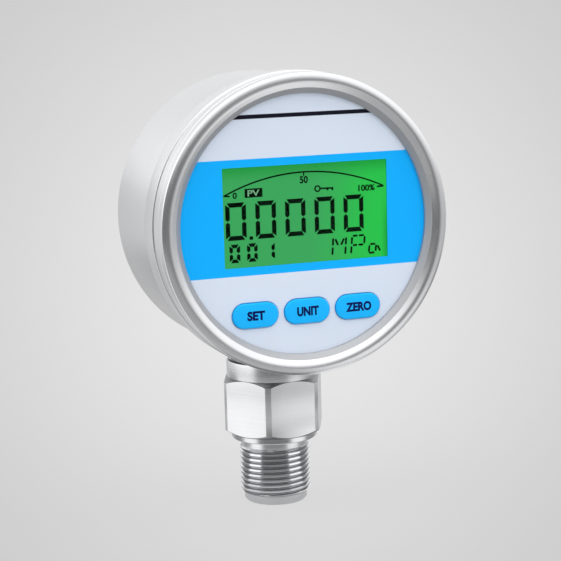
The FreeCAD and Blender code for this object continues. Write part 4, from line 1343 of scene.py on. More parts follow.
@dataclass
class Stem:
    """Threaded nose, neck, hexagon, collar and spigot, turned from one bar. Millimetres.

    Heights are from the nose's end.

    Attributes:
        root_radius: Bottom of the thread's grooves, and the neck's radius.
        core_radius: The bar under the thread, a little inside its grooves.
        crest_share: Width of a crest as a share of the pitch.
        flank_share: Width of a flank, likewise.
        lean: How much a groove or crest widens upwards, so that it faces slightly down.
        groove_line: Points across a groove: share of its width, and rise in leans.
        flank_line: Shares of a flank's width at which it has points.
        crest_line: Points across a crest: share of its width, and drop in leans.
        edge_drop: Drop of a crest's upper edge, in leans.
        end_sink: How far under the grooves the thread's ends start.
        lead_out: Slope at which the thread runs out at its upper end.
        chamfer_start: How far down a wrench face its chamfer starts.
        turn: How far the hexagon is turned, in degrees.
        edge_bevel: Width of the hexagon's broken edges.
        edge_chamfer: Chamfer at the washer face, the collar's top and the spigot.
        edge_ease: How far in a chamfer's ends are eased.
        port_depth: Where the bar's section begins in the port.
        port_chamfer: Chamfer at the port's mouth.
        neck_round: Radius of the hollow between neck and washer face.
        overlap: How far the washer face's cylinder reaches into the hexagon.
    """

    bench: Bench
    thread_radius: float = 10.0
    pitch: float = 1.5
    root_radius: float = 9.35
    core_radius: float = 9.2
    nose_radius: float = 8.9
    nose_chamfer: float = 0.6
    crest_share: float = 0.36
    flank_share: float = 0.21
    lean: float = 0.05
    groove_line: tuple[Point2, ...] = ((0.0, 0.0), (0.5, 0.6), (1.0, 1.0))
    flank_line: tuple[float, ...] = (0.2, 0.5, 0.8)
    crest_line: tuple[Point2, ...] = ((0.0, 1.4), (0.2, 1.0), (0.6, 0.45), (0.9, 0.0),
                                      (1.0, 0.15))
    edge_drop: float = 0.15
    end_sink: float = 0.05
    lead_out: float = 0.8
    thread_from: float = 2.55
    thread_to: float = 16.25
    washer_from: float = 18.4
    washer_radius: float = 12.15
    hexagon_from: float = 20.05
    hexagon_to: float = 36.6
    across_flats: float = 26.4
    corner_radius: float = 14.8
    turn: float = 4.6
    chamfer_angle: float = 35.0
    chamfer_start: float = 0.35
    collar_radius: float = 13.05
    collar_to: float = 41.1
    spigot_radius: float = 9.0
    spigot_to: float = 52.5
    port_radius: float = 2.0
    port_depth: float = 6.0
    port_chamfer: float = 0.25
    edge_bevel: float = 0.09
    edge_chamfer: float = 0.3
    edge_ease: float = 0.08
    neck_round: float = 0.5
    overlap: float = 1.5
    steel: Steel = Steel("stem_steel", (0.78, 0.785, 0.8), 0.28, Grain.ROUND_STEM,
                         0.25, 0.14, 0.003, 0.24)
    # The thread's grooves are painted darker as shade through their accent tint.
    cut: Steel = ThreadSteel("thread_steel", (0.82, 0.825, 0.85), 0.12, Grain.ROUND_STEM,
                             0.3, 0.06, 0.001, accent_and_painted_shade_tint=0.46, accent_roughness=0.24,
                             accent_relief=2.0)
    # The hexagon's chamfers are painted darker as shade through their accent tint; its turned
    # corners are duller in finish.
    ground: Steel = HexagonSteel("ground_steel", (0.95, 0.96, 0.99), 0.34, Grain.LEVEL,
                                 0.24, 0.16, 0.008, 0.24, stretch=0.7, accent_and_painted_shade_tint=0.28,
                                 accent_roughness=0.3, accent_relief=1.0)

    def bar(self) -> bpy.types.Object:
        """Nose, core, neck, washer face, collar and spigot."""
        # The tenths of a millimetre below ease the corners; the core's ends lie in the thread.
        edge, ease = self.edge_chamfer, self.edge_ease
        core_from = self.thread_from + edge
        neck = self.neck_round
        profile = [
            (self.port_radius, self.port_depth),
            (self.port_radius, self.port_chamfer),
            (self.port_radius + self.port_chamfer, 0.0),
            (self.nose_radius - self.nose_chamfer, 0.0),
            (self.nose_radius - 0.09, self.nose_chamfer - 0.12),
            (self.nose_radius, self.nose_chamfer + 0.1),
            (self.nose_radius, core_from),
            (self.core_radius, core_from),
            (self.core_radius, self.thread_to - 0.2),
            (self.root_radius, self.thread_to - 0.1),
            *arc((self.root_radius + neck, self.washer_from - neck), neck, 180, 90, 4),
            (self.washer_radius - edge, self.washer_from),
            (self.washer_radius - ease, self.washer_from + edge - ease),
            (self.washer_radius, self.washer_from + edge + 0.1),
            (self.washer_radius, self.hexagon_from + self.overlap),
            (self.collar_radius, self.hexagon_to - 1.0),
            (self.collar_radius, self.collar_to - edge),
            (self.collar_radius - ease, self.collar_to - 0.1),
            (self.collar_radius - edge, self.collar_to),
            (self.spigot_radius, self.collar_to),
            (self.spigot_radius, self.spigot_to - edge),
            (self.spigot_radius - edge, self.spigot_to),
            (self.port_radius, self.spigot_to),
            (self.port_radius, self.port_depth),
        ]
        return self.bench.turned("stem_bar", profile, 128)

    def envelope(self, height: float) -> float:
        """Radius that the thread is turned down to at a height.

        Args:
            height: Height on the stem.

        Returns:
            The radius, which falls to the root at both ends.
        """
        start = self.root_radius - self.end_sink
        lead_in = start + (height - self.thread_from)
        lead_out = start + (self.thread_to - height) * self.lead_out
        return max(self.root_radius, min(lead_in, lead_out, self.thread_radius))

    def thread(self) -> bpy.types.Object:
        """Helical ridge of the process thread, closed at both ends."""
        crest, flank = self.pitch * self.crest_share, self.pitch * self.flank_share
        root = self.pitch - 2 * flank - crest
        high, deep, lean = self.thread_radius, self.root_radius, self.lean
        upper = high - self.edge_drop * lean
        section = [(deep + lean * rise, root * share) for share, rise in self.groove_line]
        section += [(deep + lean + (high - deep - 2.5 * lean) * share, root + flank * share)
                    for share in self.flank_line]
        section += [(high - lean * drop, root + flank + crest * share)
                    for share, drop in self.crest_line]
        section += [(upper - (upper - deep) * share, root + flank + crest + flank * share)
                    for share in (*self.flank_line, 1.0)]
        # About one turn to spare at each end, which the two cuts below take off.
        turns = math.ceil((self.thread_to - self.thread_from) / self.pitch) + 2
        start = self.thread_from - 1.2 * self.pitch
        ridge = self.bench.chain("thread", [(radius, 0, start + up) for radius, up in section])
        bpy.ops.object.mode_set(mode="OBJECT")
        self.bench.modify(ridge, "SCREW", screw_offset=self.pitch, iterations=turns, steps=96,
                          render_steps=96, use_merge_vertices=True, merge_threshold=CLOSE)
        for vertex in ridge.data.vertices:
            reach = math.hypot(vertex.co.x, vertex.co.y)
            limit = self.envelope(vertex.co.z)
            if reach > limit:
                vertex.co.x *= limit / reach
                vertex.co.y *= limit / reach
        self.bench.pick(ridge)
        bpy.ops.object.mode_set(mode="EDIT")
        for height, inner in ((self.thread_from, True), (self.thread_to, False)):
            bpy.ops.mesh.select_all(action="SELECT")
            bpy.ops.mesh.bisect(plane_co=(0, 0, height), plane_no=(0, 0, 1), use_fill=True,
                                clear_inner=inner, clear_outer=not inner)
        self.bench.close_seams()
        return ridge

    def hexagon(self) -> bpy.types.Object:
        """Hexagon with turned corners and chamfered ends."""
        bench = self.bench
        bench.clear()
        height = self.hexagon_to - self.hexagon_from
        bpy.ops.mesh.primitive_cylinder_add(
            vertices=6, radius=self.across_flats / math.sqrt(3), depth=height,
            location=(0, 0, self.hexagon_from + height / 2),
            rotation=(0, 0, math.radians(self.turn + 30)))
        block = bpy.context.object
        bpy.ops.object.transform_apply(location=True, rotation=True, scale=True)
        flat = self.across_flats / 2
        slope = math.tan(math.radians(self.chamfer_angle))
        drop = (self.corner_radius - flat) * slope + self.chamfer_start
        end = self.corner_radius - drop / slope
        # The blank reaches a hair past the block, so that no two faces coincide.
        low, high = self.hexagon_from - 0.01, self.hexagon_to + 0.01
        blank = bench.turned("blank", [
            (0, low), (end, low),
            (self.corner_radius, self.hexagon_from + drop),
            (self.corner_radius, self.hexagon_to - drop),
            (end, high), (0, high),
        ])
        bench.carve(block, blank, "INTERSECT")
        bench.soften(block, self.edge_bevel, 20)
        return block

    def build(self) -> list[bpy.types.Object]:
        """Model, set down and dress the stem."""
        bench = self.bench
        made = []
        for name, piece, finish, smooth in (("stem_bar", self.bar(), self.steel, 35),
                                            ("stem_thread", self.thread(), self.cut, 35),
                                            ("stem_hexagon", self.hexagon(), self.ground, 24)):
            piece.name = name
            bench.settle(piece, Side.STEM, smooth)
            made.append(bench.fit_out(piece, finish.make(bench.datum), "case", "stem_steel",
                                      ["process_connector"]))
        return made


@dataclass
class WeldedBoss:
    """Boss under the drum: a copy of its CAD node, with the facets shaded smooth."""

    bench: Bench
    node: str = "stem_boss"
    smooth: float = 32.0
    steel: Steel = Steel("boss_steel", (0.7, 0.705, 0.72), 0.15, Grain.ROUND_STEM,
                         0.25, 0.08, 0.003, 0.24)

    def build(self) -> bpy.types.Object:
        """Copy the node, merge its loose triangles, shade them smooth and dress it."""
        source = frame["nodes"][self.node]
        piece = source.copy()
        piece.data = source.data.copy()
        piece.name = "welded_boss"
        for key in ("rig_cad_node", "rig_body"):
            del piece[key]
        piece.parent = None
        bpy.context.scene.collection.objects.link(piece)
        piece.hide_render = piece.hide_viewport = False
        self.bench.pick(piece)
        bpy.ops.object.mode_set(mode="EDIT")
        bpy.ops.mesh.select_all(action="SELECT")
        bpy.ops.mesh.remove_doubles(threshold=CLOSE * MM)
        bpy.ops.object.mode_set(mode="OBJECT")
        bpy.ops.object.shade_smooth_by_angle(angle=math.radians(self.smooth))
        return self.bench.fit_out(piece, self.steel.make(self.bench.datum), "case",
                                  "case_steel", [self.node])


# ---------------------------------------------------------------- keys


@dataclass
class Keys:
    """Three rubber keys with printed function words. Millimetres, on the dial.

    Depths are from the bezel's front plane.

    Attributes:
        words: Each key's name, its word and the word's width.
        drop: How far the keys lie below the dial's axis.
        flange: How far the flange that holds a cap behind the film reaches out.
        edge_steps: How many faces cross a cap's rounded edge.
        crown: How far the top's middle stands out from its edge.
        crown_line: Steps in from the edge, each with its share of the crown.
        ink_sink: How far a word's back lies under the cap's top.
        ink_proud: How far its face stands out from it.
    """

    bench: Bench
    words: tuple[tuple[str, str, float], ...] = (
        ("set", "SET", 5.0), ("unit", "UNIT", 6.2), ("zero", "ZERO", 7.4))
    width: float = 12.8
    height: float = 6.7
    pitch: float = 14.64
    drop: float = 23.2
    top_depth: float = 2.15
    back_depth: float = 7.15
    flange_front: float = 6.35
    flange: float = 0.6
    edge_round: float = 0.55
    edge_steps: int = 6
    crown: float = 0.12
    crown_line: tuple[Point2, ...] = ((0.5, 0.5), (0.6, 0.33), (0.7, 0.17))
    letter_height: float = 2.55
    ink_sink: float = 0.1
    ink_proud: float = 0.015
    rubber: Moulded = Moulded("key_rubber", srgb(12, 179, 254), 0.5, 0.12, 0.003, 0.04,
                              gloss=0.2)
    ink: Moulded = Moulded("key_ink", srgb(4, 14, 84), 0.5, 0.1, 0.002, 0.06, gloss=0.1)

    def cap(self) -> bpy.types.Object:
        """One cap on the dial's axis: flange, sides, rounded edge and a slight crown."""
        bench = self.bench
        bench.clear()
        bpy.ops.mesh.primitive_circle_add(vertices=64, radius=self.height / 2 + self.flange,
                                          fill_type="NGON", location=(0, 0, -self.back_depth))
        cap = bpy.context.object
        bpy.ops.object.transform_apply(location=True)
        reach = (self.width - self.height) / 2
        for vertex in cap.data.vertices:
            if abs(vertex.co.x) > CLOSE:
                vertex.co.x += math.copysign(reach, vertex.co.x)
        bpy.ops.object.mode_set(mode="EDIT")
        bpy.ops.mesh.select_all(action="SELECT")
        moves = [
            (0.0, self.back_depth - self.flange_front),
            (self.flange, 0.0),
            (0.0, self.flange_front - self.top_depth - self.edge_round),
        ]
        for index in range(self.edge_steps):
            first, last = (math.radians(90 * (index + offset) / self.edge_steps)
                           for offset in (0, 1))
            moves.append((self.edge_round * (math.cos(first) - math.cos(last)),
                          (self.edge_round - self.crown) * (math.sin(last) - math.sin(first))))
        moves += [(inwards, self.crown * share) for inwards, share in self.crown_line]
        for inwards, upwards in moves:
            if inwards:
                bpy.ops.mesh.inset(thickness=inwards, depth=upwards, use_even_offset=True)
            else:
                bpy.ops.mesh.extrude_region_move(TRANSFORM_OT_translate={"value": (0, 0, upwards)})
        bench.close_seams()
        return cap

    def build(self) -> list[bpy.types.Object]:
        """Model, set down and dress the keys and their words."""
        bench = self.bench
        rubber = self.rubber.make(bench.datum)
        ink = self.ink.make(bench.datum)
        pattern = self.cap()
        made = []
        for index, (key, word, width) in enumerate(self.words):
            place = ((index - 1) * self.pitch, -self.drop)
            cap = bench.copied(pattern, (*place, 0))
            cap.name = f"{key}_cap"
            bench.settle(cap, Side.DIAL, 50)
            bench.fit_out(cap, rubber, f"{key}_key", "key_rubber", [f"key_{key}"])
            letters = bench.lettering(word, (width, self.letter_height), place,
                                      -self.top_depth - self.ink_sink,
                                      self.ink_proud - self.top_depth, weight=0.05)
            letters.name = f"{key}_word"
            bench.settle(letters, Side.DIAL)
            bench.fit_out(letters, ink, f"{key}_key", "key_rubber")
            made += [cap, letters]
        bpy.data.objects.remove(pattern)
        return made


# ---------------------------------------------------------------- display


@dataclass
class DisplayMarks:
    """Dark marks of the display, just in front of the cell.

    Millimetres from the window's centre; depths are from the bezel's front plane.

    Attributes:
        centre: The window's centre, from the dial's axis.
        gap: Space that a segment leaves at each end.
        point_box: Left, bottom, right and top of the decimal point.
        tag_box: The same of the dark plate behind the tag's letters.
        unit_strokes: Both tips of each stroke of the unit.
        unit_shift: How far to the right the unit and the key symbol are set.
        unit_point: Length of a stroke's tip as a share of its width.
        tick: The scale's middle tick: both tips and the width.
        left_hook: The hook at its left end, likewise, from the end of the arch.
        right_hook: The hook at its right end.
        bow_centre: Centre of the key symbol's bow, before its shift.
        bow_radii: Outer and inner radius of the bow.
        key_bars: Its shaft and teeth, from the bow's centre: both tips and the width.
        numbers: The scale's numbers: characters, size, place and weight.
    """

    bench: Bench
    centre: Point2 = (0.6, 2.9)
    front_depth: float = 4.12
    back_depth: float = 4.16
    digit_size: Point2 = (5.75, 9.95)
    digit_left: float = -22.35
    digit_pitch: float = 8.33
    digit_bottom: float = -5.95
    digit_stroke: float = 1.22
    small_size: Point2 = (2.95, 4.9)
    small_left: float = -21.5
    small_pitch: float = 4.85
    small_bottom: float = -11.9
    small_stroke: float = 0.95
    gap: float = 0.1
    arc_centre: Point2 = (0.05, -42.1)
    arc_radius: float = 53.06
    arc_half_angle: float = 25.1
    arc_width: float = 0.42
    point_box: tuple[float, ...] = (-15.85, -6.05, -14.85, -5.15)
    tag_box: tuple[float, ...] = (-16.85, 5.1, -11.9, 7.45)
    unit_strokes: tuple[tuple[Point2, Point2], ...] = (
        ((7.38, -7.3), (7.22, -9.35)), ((7.2, -9.75), (7.02, -11.85)),
        ((11.12, -7.3), (10.95, -9.35)), ((10.92, -9.75), (10.75, -11.85)),
        ((7.95, -7.55), (8.75, -9.35)), ((10.55, -7.55), (9.55, -9.35)),
        ((12.85, -7.35), (12.65, -9.35)), ((12.62, -9.85), (12.45, -11.85)),
        ((13.0, -7.1), (14.5, -7.1)), ((14.75, -7.1), (16.35, -7.1)),
        ((16.5, -7.35), (16.32, -9.4)),
        ((12.95, -9.62), (14.3, -9.62)), ((14.6, -9.62), (16.1, -9.62)),
        ((17.85, -9.95), (17.62, -11.85)), ((18.0, -9.7), (19.65, -9.7)),
        ((19.8, -9.95), (19.6, -11.75)), ((17.6, -12.05), (19.3, -12.05)),
        ((20.2, -10.1), (20.95, -11.75)),
    )
    unit_shift: float = 0.45
    unit_stroke: float = 0.56
    unit_point: float = 0.35
    tick: tuple[Point2, Point2, float] = ((-0.2, 11.05), (-0.22, 9.85), 0.34)
    left_hook: tuple[Point2, Point2, float] = ((-0.3, -0.05), (1.6, -0.22), 0.42)
    right_hook: tuple[Point2, Point2, float] = ((0.3, -0.05), (-1.9, -0.2), 0.5)
    bow_centre: Point2 = (3.17, 6.26)
    bow_radii: Point2 = (0.93, 0.52)
    key_bars: tuple[tuple[Point2, Point2, float], ...] = (
        ((0.81, 0.0), (4.58, -0.06), 0.46),
        ((2.88, 0.04), (2.85, -0.66), 0.5),
        ((4.28, 0.04), (4.25, -0.71), 0.5),
    )
    numbers: tuple[tuple[str, Point2, Point2, float], ...] = (
        ("0", (1.2, 1.7), (-19.6, 5.85), 0.03),
        ("50", (2.3, 2.0), (-0.2, 8.9), 0.035),
        ("100%", (4.8, 1.75), (17.75, 5.65), 0.035),
    )
    tag_size: Point2 = (3.3, 1.65)
    tag_place: Point2 = (-14.4, 6.25)
    tag_proud: float = 0.015
    ink: Moulded = Moulded("display_ink", srgb(1, 27, 12), 0.35, 0.4, 0.0005, 0.08, gloss=0.02)
    lit: Moulded = Moulded("display_lit", srgb(150, 215, 165), 0.4, 0.4, 0.0005, 0.05,
                           gloss=0.1)

    def plate(self, outline: Sequence[Point2]) -> bpy.types.Object:
        """A thin mark on the cell from an outline about the window's centre."""
        return self.bench.plate("mark", outline, -self.back_depth, -self.front_depth)

    def block(self, box: Sequence[float]) -> bpy.types.Object:
        """A rectangular mark, from its left, bottom, right and top."""
        left, bottom, right, top = box
        return self.plate([(left, bottom), (right, bottom), (right, top), (left, top)])

    def digit(self, segments: str, size: Point2, stroke: float) -> list[bpy.types.Object]:
        """Segments of one digit, its lower left corner at the window's centre.

        Args:
            segments: Letters of the segments that are on, from a at the top clockwise to f.
            size: Width and height of the digit.
            stroke: Width of a segment.

        Returns:
            One plate for each segment.
        """
        wide, tall = size
        gap, half = self.gap, tall / 2
        chamfer = stroke * 0.3
        outlines = {
            "a": [(chamfer + gap, tall), (wide - chamfer - gap, tall),
                  (wide - stroke - gap + chamfer * 0.4, tall - stroke),
                  (stroke + gap - chamfer * 0.4, tall - stroke)],
            "f": [(0, tall - chamfer - gap), (0, half + gap + stroke * 0.4),
                  (stroke / 2, half + gap), (stroke, half + gap + stroke * 0.4),
                  (stroke, tall - stroke - gap)],
        }
        outlines["d"] = [(x, tall - y) for x, y in reversed(outlines["a"])]
        outlines["b"] = [(wide - x, y) for x, y in reversed(outlines["f"])]
        outlines["e"] = [(x, tall - y) for x, y in reversed(outlines["f"])]
        outlines["c"] = [(wide - x, tall - y) for x, y in outlines["f"]]
        return [self.plate(outlines[letter]) for letter in segments]

    def number(self, digits: Sequence[str], size: Point2, stroke: float, left: float, pitch: float,
               bottom: float) -> list[bpy.types.Object]:
        """A row of digits.

        Args:
            digits: The segments that are on in each digit.
            size: Width and height of a digit.
            stroke: Width of a segment.
            left: Left edge of the first digit.
            pitch: Distance between digits.
            bottom: Lower edge of the row.

        Returns:
            The segments, in place.
        """
        made = []
        for index, segments in enumerate(digits):
            for part in self.digit(segments, size, stroke):
                part.data.transform(Matrix.Translation((left + index * pitch, bottom, 0)))
                made.append(part)
        return made

    def bar(self, start: Point2, end: Point2, width: float, point: float = 0.5,
            origin: Point2 = (0.0, 0.0)) -> bpy.types.Object:
        """A straight mark with pointed ends.

        Args:
            start: Tip at one end.
            end: Tip at the other end.
            width: Its width.
            point: Length of a tip as a share of the width.
            origin: Where the tips are measured from.

        Returns:
            The mark.
        """
        first, last = Vector(start) + Vector(origin), Vector(end) + Vector(origin)
        along = (last - first).normalized()
        across = Vector((-along.y, along.x)) * width / 2
        tip = along * width * point
        outline = [first, first + tip - across, last - tip - across, last, last - tip + across,
                   first + tip + across]
        return self.plate([tuple(point) for point in outline])

    def unit(self) -> list[bpy.types.Object]:
        """The unit in slanted stroke characters."""
        return [self.bar(start, end, self.unit_stroke, self.unit_point, (self.unit_shift, 0))
                for start, end in self.unit_strokes]

    def scale(self) -> list[bpy.types.Object]:
        """The arched scale line with its end hooks and middle tick."""
        start, end = 90 + self.arc_half_angle, 90 - self.arc_half_angle
        outer = arc(self.arc_centre, self.arc_radius + self.arc_width / 2, start, end, 40)
        inner = arc(self.arc_centre, self.arc_radius - self.arc_width / 2, end, start, 40)
        left, right = (arc(self.arc_centre, self.arc_radius, angle, angle, 1)[0]
                       for angle in (start, end))
        return [
            self.plate(outer + inner),
            self.bar(*self.left_hook, origin=left),
            self.bar(*self.right_hook, origin=right),
            self.bar(*self.tick),
        ]

    def key_symbol(self) -> list[bpy.types.Object]:
        """A small key: bow, shaft and two teeth."""
        bow = (self.bow_centre[0] + self.unit_shift, self.bow_centre[1])
        outer, inner = (arc(bow, radius, 0, 360, 24)[:-1] for radius in self.bow_radii)
        ring = self.plate(outer)
        hole = self.bench.plate("hole", inner, -self.back_depth - 1, -self.front_depth + 1)
        self.bench.carve(ring, hole)
        return [ring, *(self.bar(*bar, 0.1, bow) for bar in self.key_bars)]

    def labels(self) -> list[bpy.types.Object]:
        """Scale numbers."""
        return [self.bench.lettering(body, size, place, -self.back_depth, -self.front_depth,
                                     weight)
                for body, size, place, weight in self.numbers]

    def build(self) -> list[bpy.types.Object]:
        """Model, set down and dress every mark."""
        bench = self.bench
        zero, one = "abcdef", "bc"
        marks = self.number([zero] * 5, self.digit_size, self.digit_stroke, self.digit_left,
                            self.digit_pitch, self.digit_bottom)
        marks += self.number([zero, zero, one], self.small_size, self.small_stroke,
                             self.small_left, self.small_pitch, self.small_bottom)
        marks += [self.block(self.point_box), self.block(self.tag_box)]
        marks += self.unit() + self.scale() + self.key_symbol() + self.labels()
        dark = bench.join("display_marks", marks)
        tag = bench.lettering("PV", self.tag_size, self.tag_place, -self.front_depth,
                              self.tag_proud - self.front_depth, weight=0.02)
        tag.name = "display_tag"
        for obj, finish in ((dark, self.ink), (tag, self.lit)):
            obj.data.transform(Matrix.Translation((*self.centre, 0)))
            bench.settle(obj, Side.DIAL, 10)
            bench.fit_out(obj, finish.make(bench.datum), "case", "display")
        return [dark, tag]


# ---------------------------------------------------------------- inner nodes


@dataclass
class InnerParts:
    """Finishes for the CAD nodes that are shown as they are."""

    bench: Bench
    seal: Moulded = Moulded("seal_rubber", (0.022, 0.022, 0.024), 0.6, 0.25, 0.01, 0.2)
    carrier: Moulded = Moulded("carrier_plastic", srgb(232, 236, 244), 0.5, 0.3, 0.01, 0.04)
    light_guide: Moulded = Moulded("light_guide", srgb(225, 235, 225), 0.25, 1.0, 0.003, 0.03)
    dark: Moulded = Moulded("black_moulding", (0.02, 0.02, 0.022), 0.45, 0.2, 0.01, 0.2)
    chip: Moulded = Moulded("chip_package", (0.012, 0.012, 0.013), 0.55, 0.12, 0.008, 0.25)
    plated: Moulded = Moulded("plated_metal", (0.72, 0.7, 0.64), 0.25, 0.5, 0.002, 0.06, 1.0)
    inner_steel: Steel = Steel("inner_steel", (0.68, 0.68, 0.69), 0.28, Grain.ROUND_STEM,
                               0.4, 0.1, 0.002)

    def plan(self) -> list[tuple[object, tuple[str, ...]]]:
        """Each finish with the nodes that take it."""
        keys = ("set", "unit", "zero")
        return [
            (self.seal, ("front_gasket", "rear_gasket", "stem_seal", "sensor_seal")),
            (self.carrier, ("front_panel",)),
            (self.light_guide, ("backlight",)),
            (self.dark, ("lcd_frame", "lead_socket", "battery_holder")),
            (self.chip, ("controller_chip", "converter_chip",
                         *(f"{piece}_{key}" for piece in ("switch", "plunger") for key in keys))),
            (self.plated, ("lcd_pins", "crystal_can", "capacitors", "battery_contacts",
                           "sensor_pins", "board_screws")),
            (self.inner_steel, ("stem_nut", "sensor_capsule", "sensor_retainer")),
            (BoardLaminate(), ("main_board",)),
            (BatteryWrap("battery_wrap_upper", 15.0), ("battery_upper",)),
            (BatteryWrap("battery_wrap_lower", -15.0), ("battery_lower",)),
            (Ribbon(), ("sensor_ribbon",)),
            (PrintedFilm(), ("face_overlay",)),
            (GreenDisplay(), ("lcd_glass",)),
            (ClearPlastic(), ("display_window",)),
        ]

    def dress(self) -> None:
        """Give each node its finish."""
        for finish, nodes in self.plan():
            material = finish.make(self.bench.datum)
            for node in nodes:
                mesh = frame["nodes"][node].data
                mesh.materials.clear()
                mesh.materials.append(material)
            LOG.info("%s on %s", material.name, ", ".join(nodes))


# ---------------------------------------------------------------- studio


@dataclass(frozen=True)
class Strip:
    """Part of the floor that steel mirrors brighter or darker.

    Attributes:
        bearings: Its sides, in degrees to the right of the dial's front.
        distances: Its ends, in metres from the stem's axis.
        level: Its brightness, where 1 is white.
    """

    bearings: Point2
    distances: Point2
    level: float


@dataclass(frozen=True)
class Surroundings:
    """How bright the studio is in each direction round the object.

    Bearings are degrees to the right of the dial's front, seen from above the object's front;
    levels are brightness, where 1 is white.

    Attributes:
        card_from: Bearings over which the left side rises to its white card.
        card_level: What the card adds.
        floor_level: What steel mirrors of the floor close by.
        strips: Brighter and darker strips on that floor.
        turn_edge: Half the width of a strip's soft edge, in degrees.
        ring_edge: Half the width of a strip's soft end.
        dim_from: Bearings over which the left side falls to the dim front.
        dim_to: Bearings over which the dim front rises to the right side.
        dim_level: The front, level with the object.
        front_rise: Elevations over which the front rises to the roof.
        side_level: The sides, level with the object.
        side_rise: Elevations over which the sides rise to the roof.
        roof_level: The roof's lower part.
        zenith_level: What the roof gains further up, in front.
        zenith_back: What it gains there behind.
        zenith_side: Bearing to either side where the front ends.
        zenith_edge: Half the width of that soft edge.
        zenith_rise: Elevations over which the roof changes so.
    """

    card_from: Point2 = (-178.0, -150.0)
    card_level: float = 0.4
    floor_level: float = 0.6
    strips: tuple[Strip, ...] = (
        Strip((-150, -104), (0.022, 0.066), 0.22), Strip((-104, -62), (0.022, 0.066), 1.4),
        Strip((-62, 22), (0.022, 0.066), 0.1), Strip((22, 64), (0.022, 0.066), 1.35),
        Strip((64, 112), (0.022, 0.066), 0.22), Strip((-114, -64), (0.066, 0.27), 1.28),
        Strip((-62, 16), (0.105, 0.27), 0.42), Strip((18, 50), (0.085, 0.27), 1.15),
        Strip((-150, -116), (0.12, 0.27), 0.2), Strip((66, 112), (0.12, 0.27), 0.2))
    turn_edge: float = 3.0
    ring_edge: float = 0.008
    dim_from: Point2 = (-74.0, -54.0)
    dim_to: Point2 = (8.0, 38.0)
    dim_level: float = 0.22
    front_rise: Point2 = (5.0, 38.0)
    side_level: float = 0.75
    side_rise: Point2 = (-5.0, 20.0)
    roof_level: float = 1.38
    zenith_level: float = 1.25
    zenith_back: float = -0.55
    zenith_side: float = 85.0
    zenith_edge: float = 18.0
    zenith_rise: Point2 = (36.0, 64.0)

    def dim(self, bearing: Wire) -> Wire:
        """How far a bearing lies in the dim front, from 0 to 1."""
        return bearing.step(*self.dim_from) * (1 - bearing.step(*self.dim_to))

    def card(self, bearing: Wire) -> Wire:
        """How far a bearing lies on the card at the left, from 0 to 1."""
        return bearing.step(*self.card_from) * (1 - bearing.step(*self.dim_from))

    def near_floor(self, bearing: Wire, distance: Wire) -> Wire:
        """Brightness that steel mirrors from the floor close to the object."""
        level = self.floor_level
        for strip in self.strips:
            inside = (bearing.within(strip.bearings, self.turn_edge)
                      * distance.within(strip.distances, self.ring_edge))
            level = level + (strip.level - self.floor_level) * inside
        return level

    def level(self, board: Board, direction: Wire) -> Wire:
        """Brightness in a direction.

        Args:
            board: The board that the nodes go on.
            direction: The direction, of length 1.

        Returns:
            The brightness.
        """
        x, y, z = board.split(direction)
        bearing, elevation = x.bearing(0 - y), z.slope()
        front_roof, side_roof, zenith_roof = (
            elevation.step(*rise) for rise in (self.front_rise, self.side_rise, self.zenith_rise))
        front = self.dim_level + (self.roof_level - self.dim_level) * front_roof
        side = (self.side_level + (self.roof_level - self.side_level) * side_roof
                + self.card_level * self.card(bearing))
        ahead = bearing.within((-self.zenith_side, self.zenith_side), self.zenith_edge)
        zenith = self.zenith_back + (self.zenith_level - self.zenith_back) * ahead
        return side + (front - side) * self.dim(bearing) + zenith * zenith_roof


